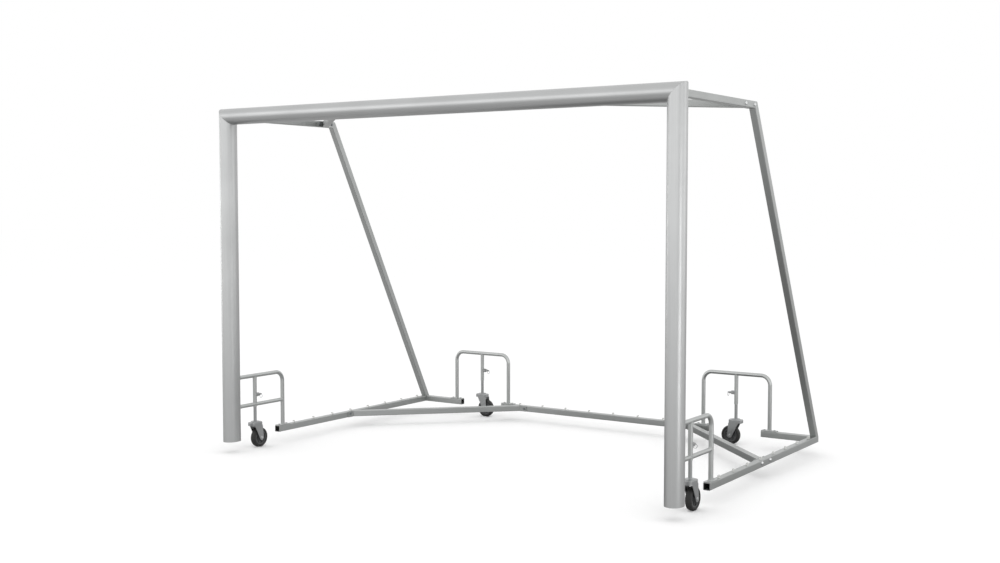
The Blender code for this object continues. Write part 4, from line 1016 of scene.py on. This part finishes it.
# %% [markdown]
# ## Camera
#
# The camera was fitted to the corners of the mouth and the feet of the frame. It stands 5.6 m before
# the mouth and out beyond the right post, about half a metre lower than the crossbar, and looks
# slightly down. The lens is 45 mm on a 36 mm sensor.

# %% Camera
camera_data = bpy.data.cameras.new("camera")
camera_data.lens = 45.006
camera_data.sensor_width = 36.0
camera_data.clip_end = 200.0
camera = bpy.data.objects.new("camera", camera_data)
camera.location = (4.2587, -6.59285, 1.5617)
camera.rotation_euler = (np.radians(86.56), 0.0, np.radians(33.86))
bpy.context.scene.collection.objects.link(camera)
bpy.context.scene.camera = camera

# %% [markdown]
# ## Studio
#
# Bare metal shows the room around it, so the room decides how it looks. The picture is a cut-out on
# white. Its metal is light on top and darkens towards the floor, as it does where the floor near the
# goal lies in shade. So the world is plain white for every ray. The camera sees the floor white too,
# with the goal's own faint shadow on it. Reflections see a light grey floor, and under the goal a
# darker grey patch of painted shade, because a floor that is white to them takes that shading away.

# %% Floor
# Place and reach of the painted shade: a darker grey patch under the goal that only reflections see.
PAINTED_SHADE_PLACE, PAINTED_SHADE_REACH, FLOOR_REACH = (0.4, 0.0, 0.0), (1.3, 1.25), 60.0
floor_mesh = bpy.data.meshes.new("floor")
floor_mesh.from_pydata(
    [(x * FLOOR_REACH, y * FLOOR_REACH, 0) for x, y in ((-1, -1), (1, -1), (1, 1), (-1, 1))],
    [],
    [(0, 1, 2, 3)],
)
floor = bpy.data.objects.new("floor", floor_mesh)
bpy.context.scene.collection.objects.link(floor)
floor_paint = bpy.data.materials.new("matt_studio_floor")
floor_paint.use_nodes = True
floor_paint.node_tree.nodes.clear()
place = add(floor_paint, "ShaderNodeTexCoord")
painted_shade_patch = {"vector_type": "TEXTURE", "Location": PAINTED_SHADE_PLACE, "Scale": (*PAINTED_SHADE_REACH, 1.0)}
offset = add(floor_paint, "ShaderNodeMapping", painted_shade_patch, {"Vector": place.outputs["Object"]})
length = {"operation": "LENGTH"}
distance = add(floor_paint, "ShaderNodeVectorMath", length, {0: offset.outputs["Vector"]})
edge = {"interpolation_type": "SMOOTHSTEP", "From Min": 0.75, "From Max": 1.25}
away = add(floor_paint, "ShaderNodeMapRange", edge, {"Value": distance.outputs["Value"]})
rays = add(floor_paint, "ShaderNodeLightPath")
seen = {0: rays.outputs["Is Camera Ray"], 1: rays.outputs["Is Transmission Ray"]}
seen_white = add(floor_paint, "ShaderNodeMath", {"operation": "MAXIMUM"}, seen)
# The darker grey is painted shade under the goal, fading out to the light grey floor; the camera sees white
# instead.
greys = {"data_type": "RGBA", 6: colour("#7E7E7E"), 7: colour("#BEBEBE")}
mirrored = add(floor_paint, "ShaderNodeMix", greys, {0: away.outputs["Result"]})
blend = {0: seen_white.outputs["Value"], 6: mirrored.outputs[2]}
paint = add(floor_paint, "ShaderNodeMix", {"data_type": "RGBA", 7: (1, 1, 1, 1)}, blend)
matt = add(floor_paint, "ShaderNodeBsdfDiffuse", links={"Color": paint.outputs[2]})
add(floor_paint, "ShaderNodeOutputMaterial", links={"Surface": matt.outputs["BSDF"]})
floor.data.materials.append(floor_paint)

# %% White room
world = bpy.data.worlds.new("white_room")
bpy.context.scene.world = world
world.use_nodes = True
world.node_tree.nodes.clear()
room = add(world, "ShaderNodeBackground", {"Color": (1, 1, 1, 1), "Strength": 1.0})
add(world, "ShaderNodeOutputWorld", links={"Surface": room.outputs["Background"]})

# %% [markdown]
# Softboxes shape the metal, and the camera doesn't see them. Three wide ones stand in an arc in front
# of the goal. They give the crossbar its bright band and make the posts lighter towards the top. One
# at the right and one at the left give each post its highlights, a small one near the floor at the
# right carries that down to the foot, and one behind at the right lights the far sides of the tubes.
# A softbox's power is found from how bright its face should look.

# %% Softboxes


def softbox(name, place, target, width, height, brightness):
    """Power = 4 * brightness * width * height, which gives the face that radiance."""
    data = bpy.data.lights.new(name, "AREA")
    data.shape = "RECTANGLE"
    data.size, data.size_y = width, height
    data.energy = 4 * brightness * width * height
    lamp = bpy.data.objects.new(name, data)
    lamp.location = place
    lamp.rotation_euler = (Vector(target) - Vector(place)).to_track_quat("-Z", "Y").to_euler()
    lamp.visible_camera = False
    bpy.context.scene.collection.objects.link(lamp)
    return lamp


FAR = 10.0
for name, degrees in (("left", -44.0), ("middle", -2.0), ("right", 40.0)):
    turn = np.radians(degrees)
    place = (FAR * np.sin(turn), -FAR * np.cos(turn), 3.3)
    softbox("front_" + name + "_softbox", place, (0, 0, 3.3), 7.6, 6.4, 0.46)
softbox("tall_right_softbox", (9.5, -1.2, 1.0), (0, -1.2, 1.0), 2.6, 2.0, 1.9)
softbox("low_right_softbox", (4.8, -1.2, 0.35), (0, -1.2, 0.35), 1.2, 0.6, 1.6)
softbox("back_right_softbox", (8.66, 5.0, 1.6), (0, 0, 1.6), 5.0, 3.2, 0.7)
softbox("tall_left_softbox", (-9.5, -1.2, 1.2), (0, -1.2, 1.2), 3.0, 2.4, 1.6)
bpy.context.scene.view_settings.view_transform = "Standard"

# %% [markdown]
# ## The last line
#
# The view layer is brought up to date once more.

# %% The last line
bpy.context.view_layer.update()
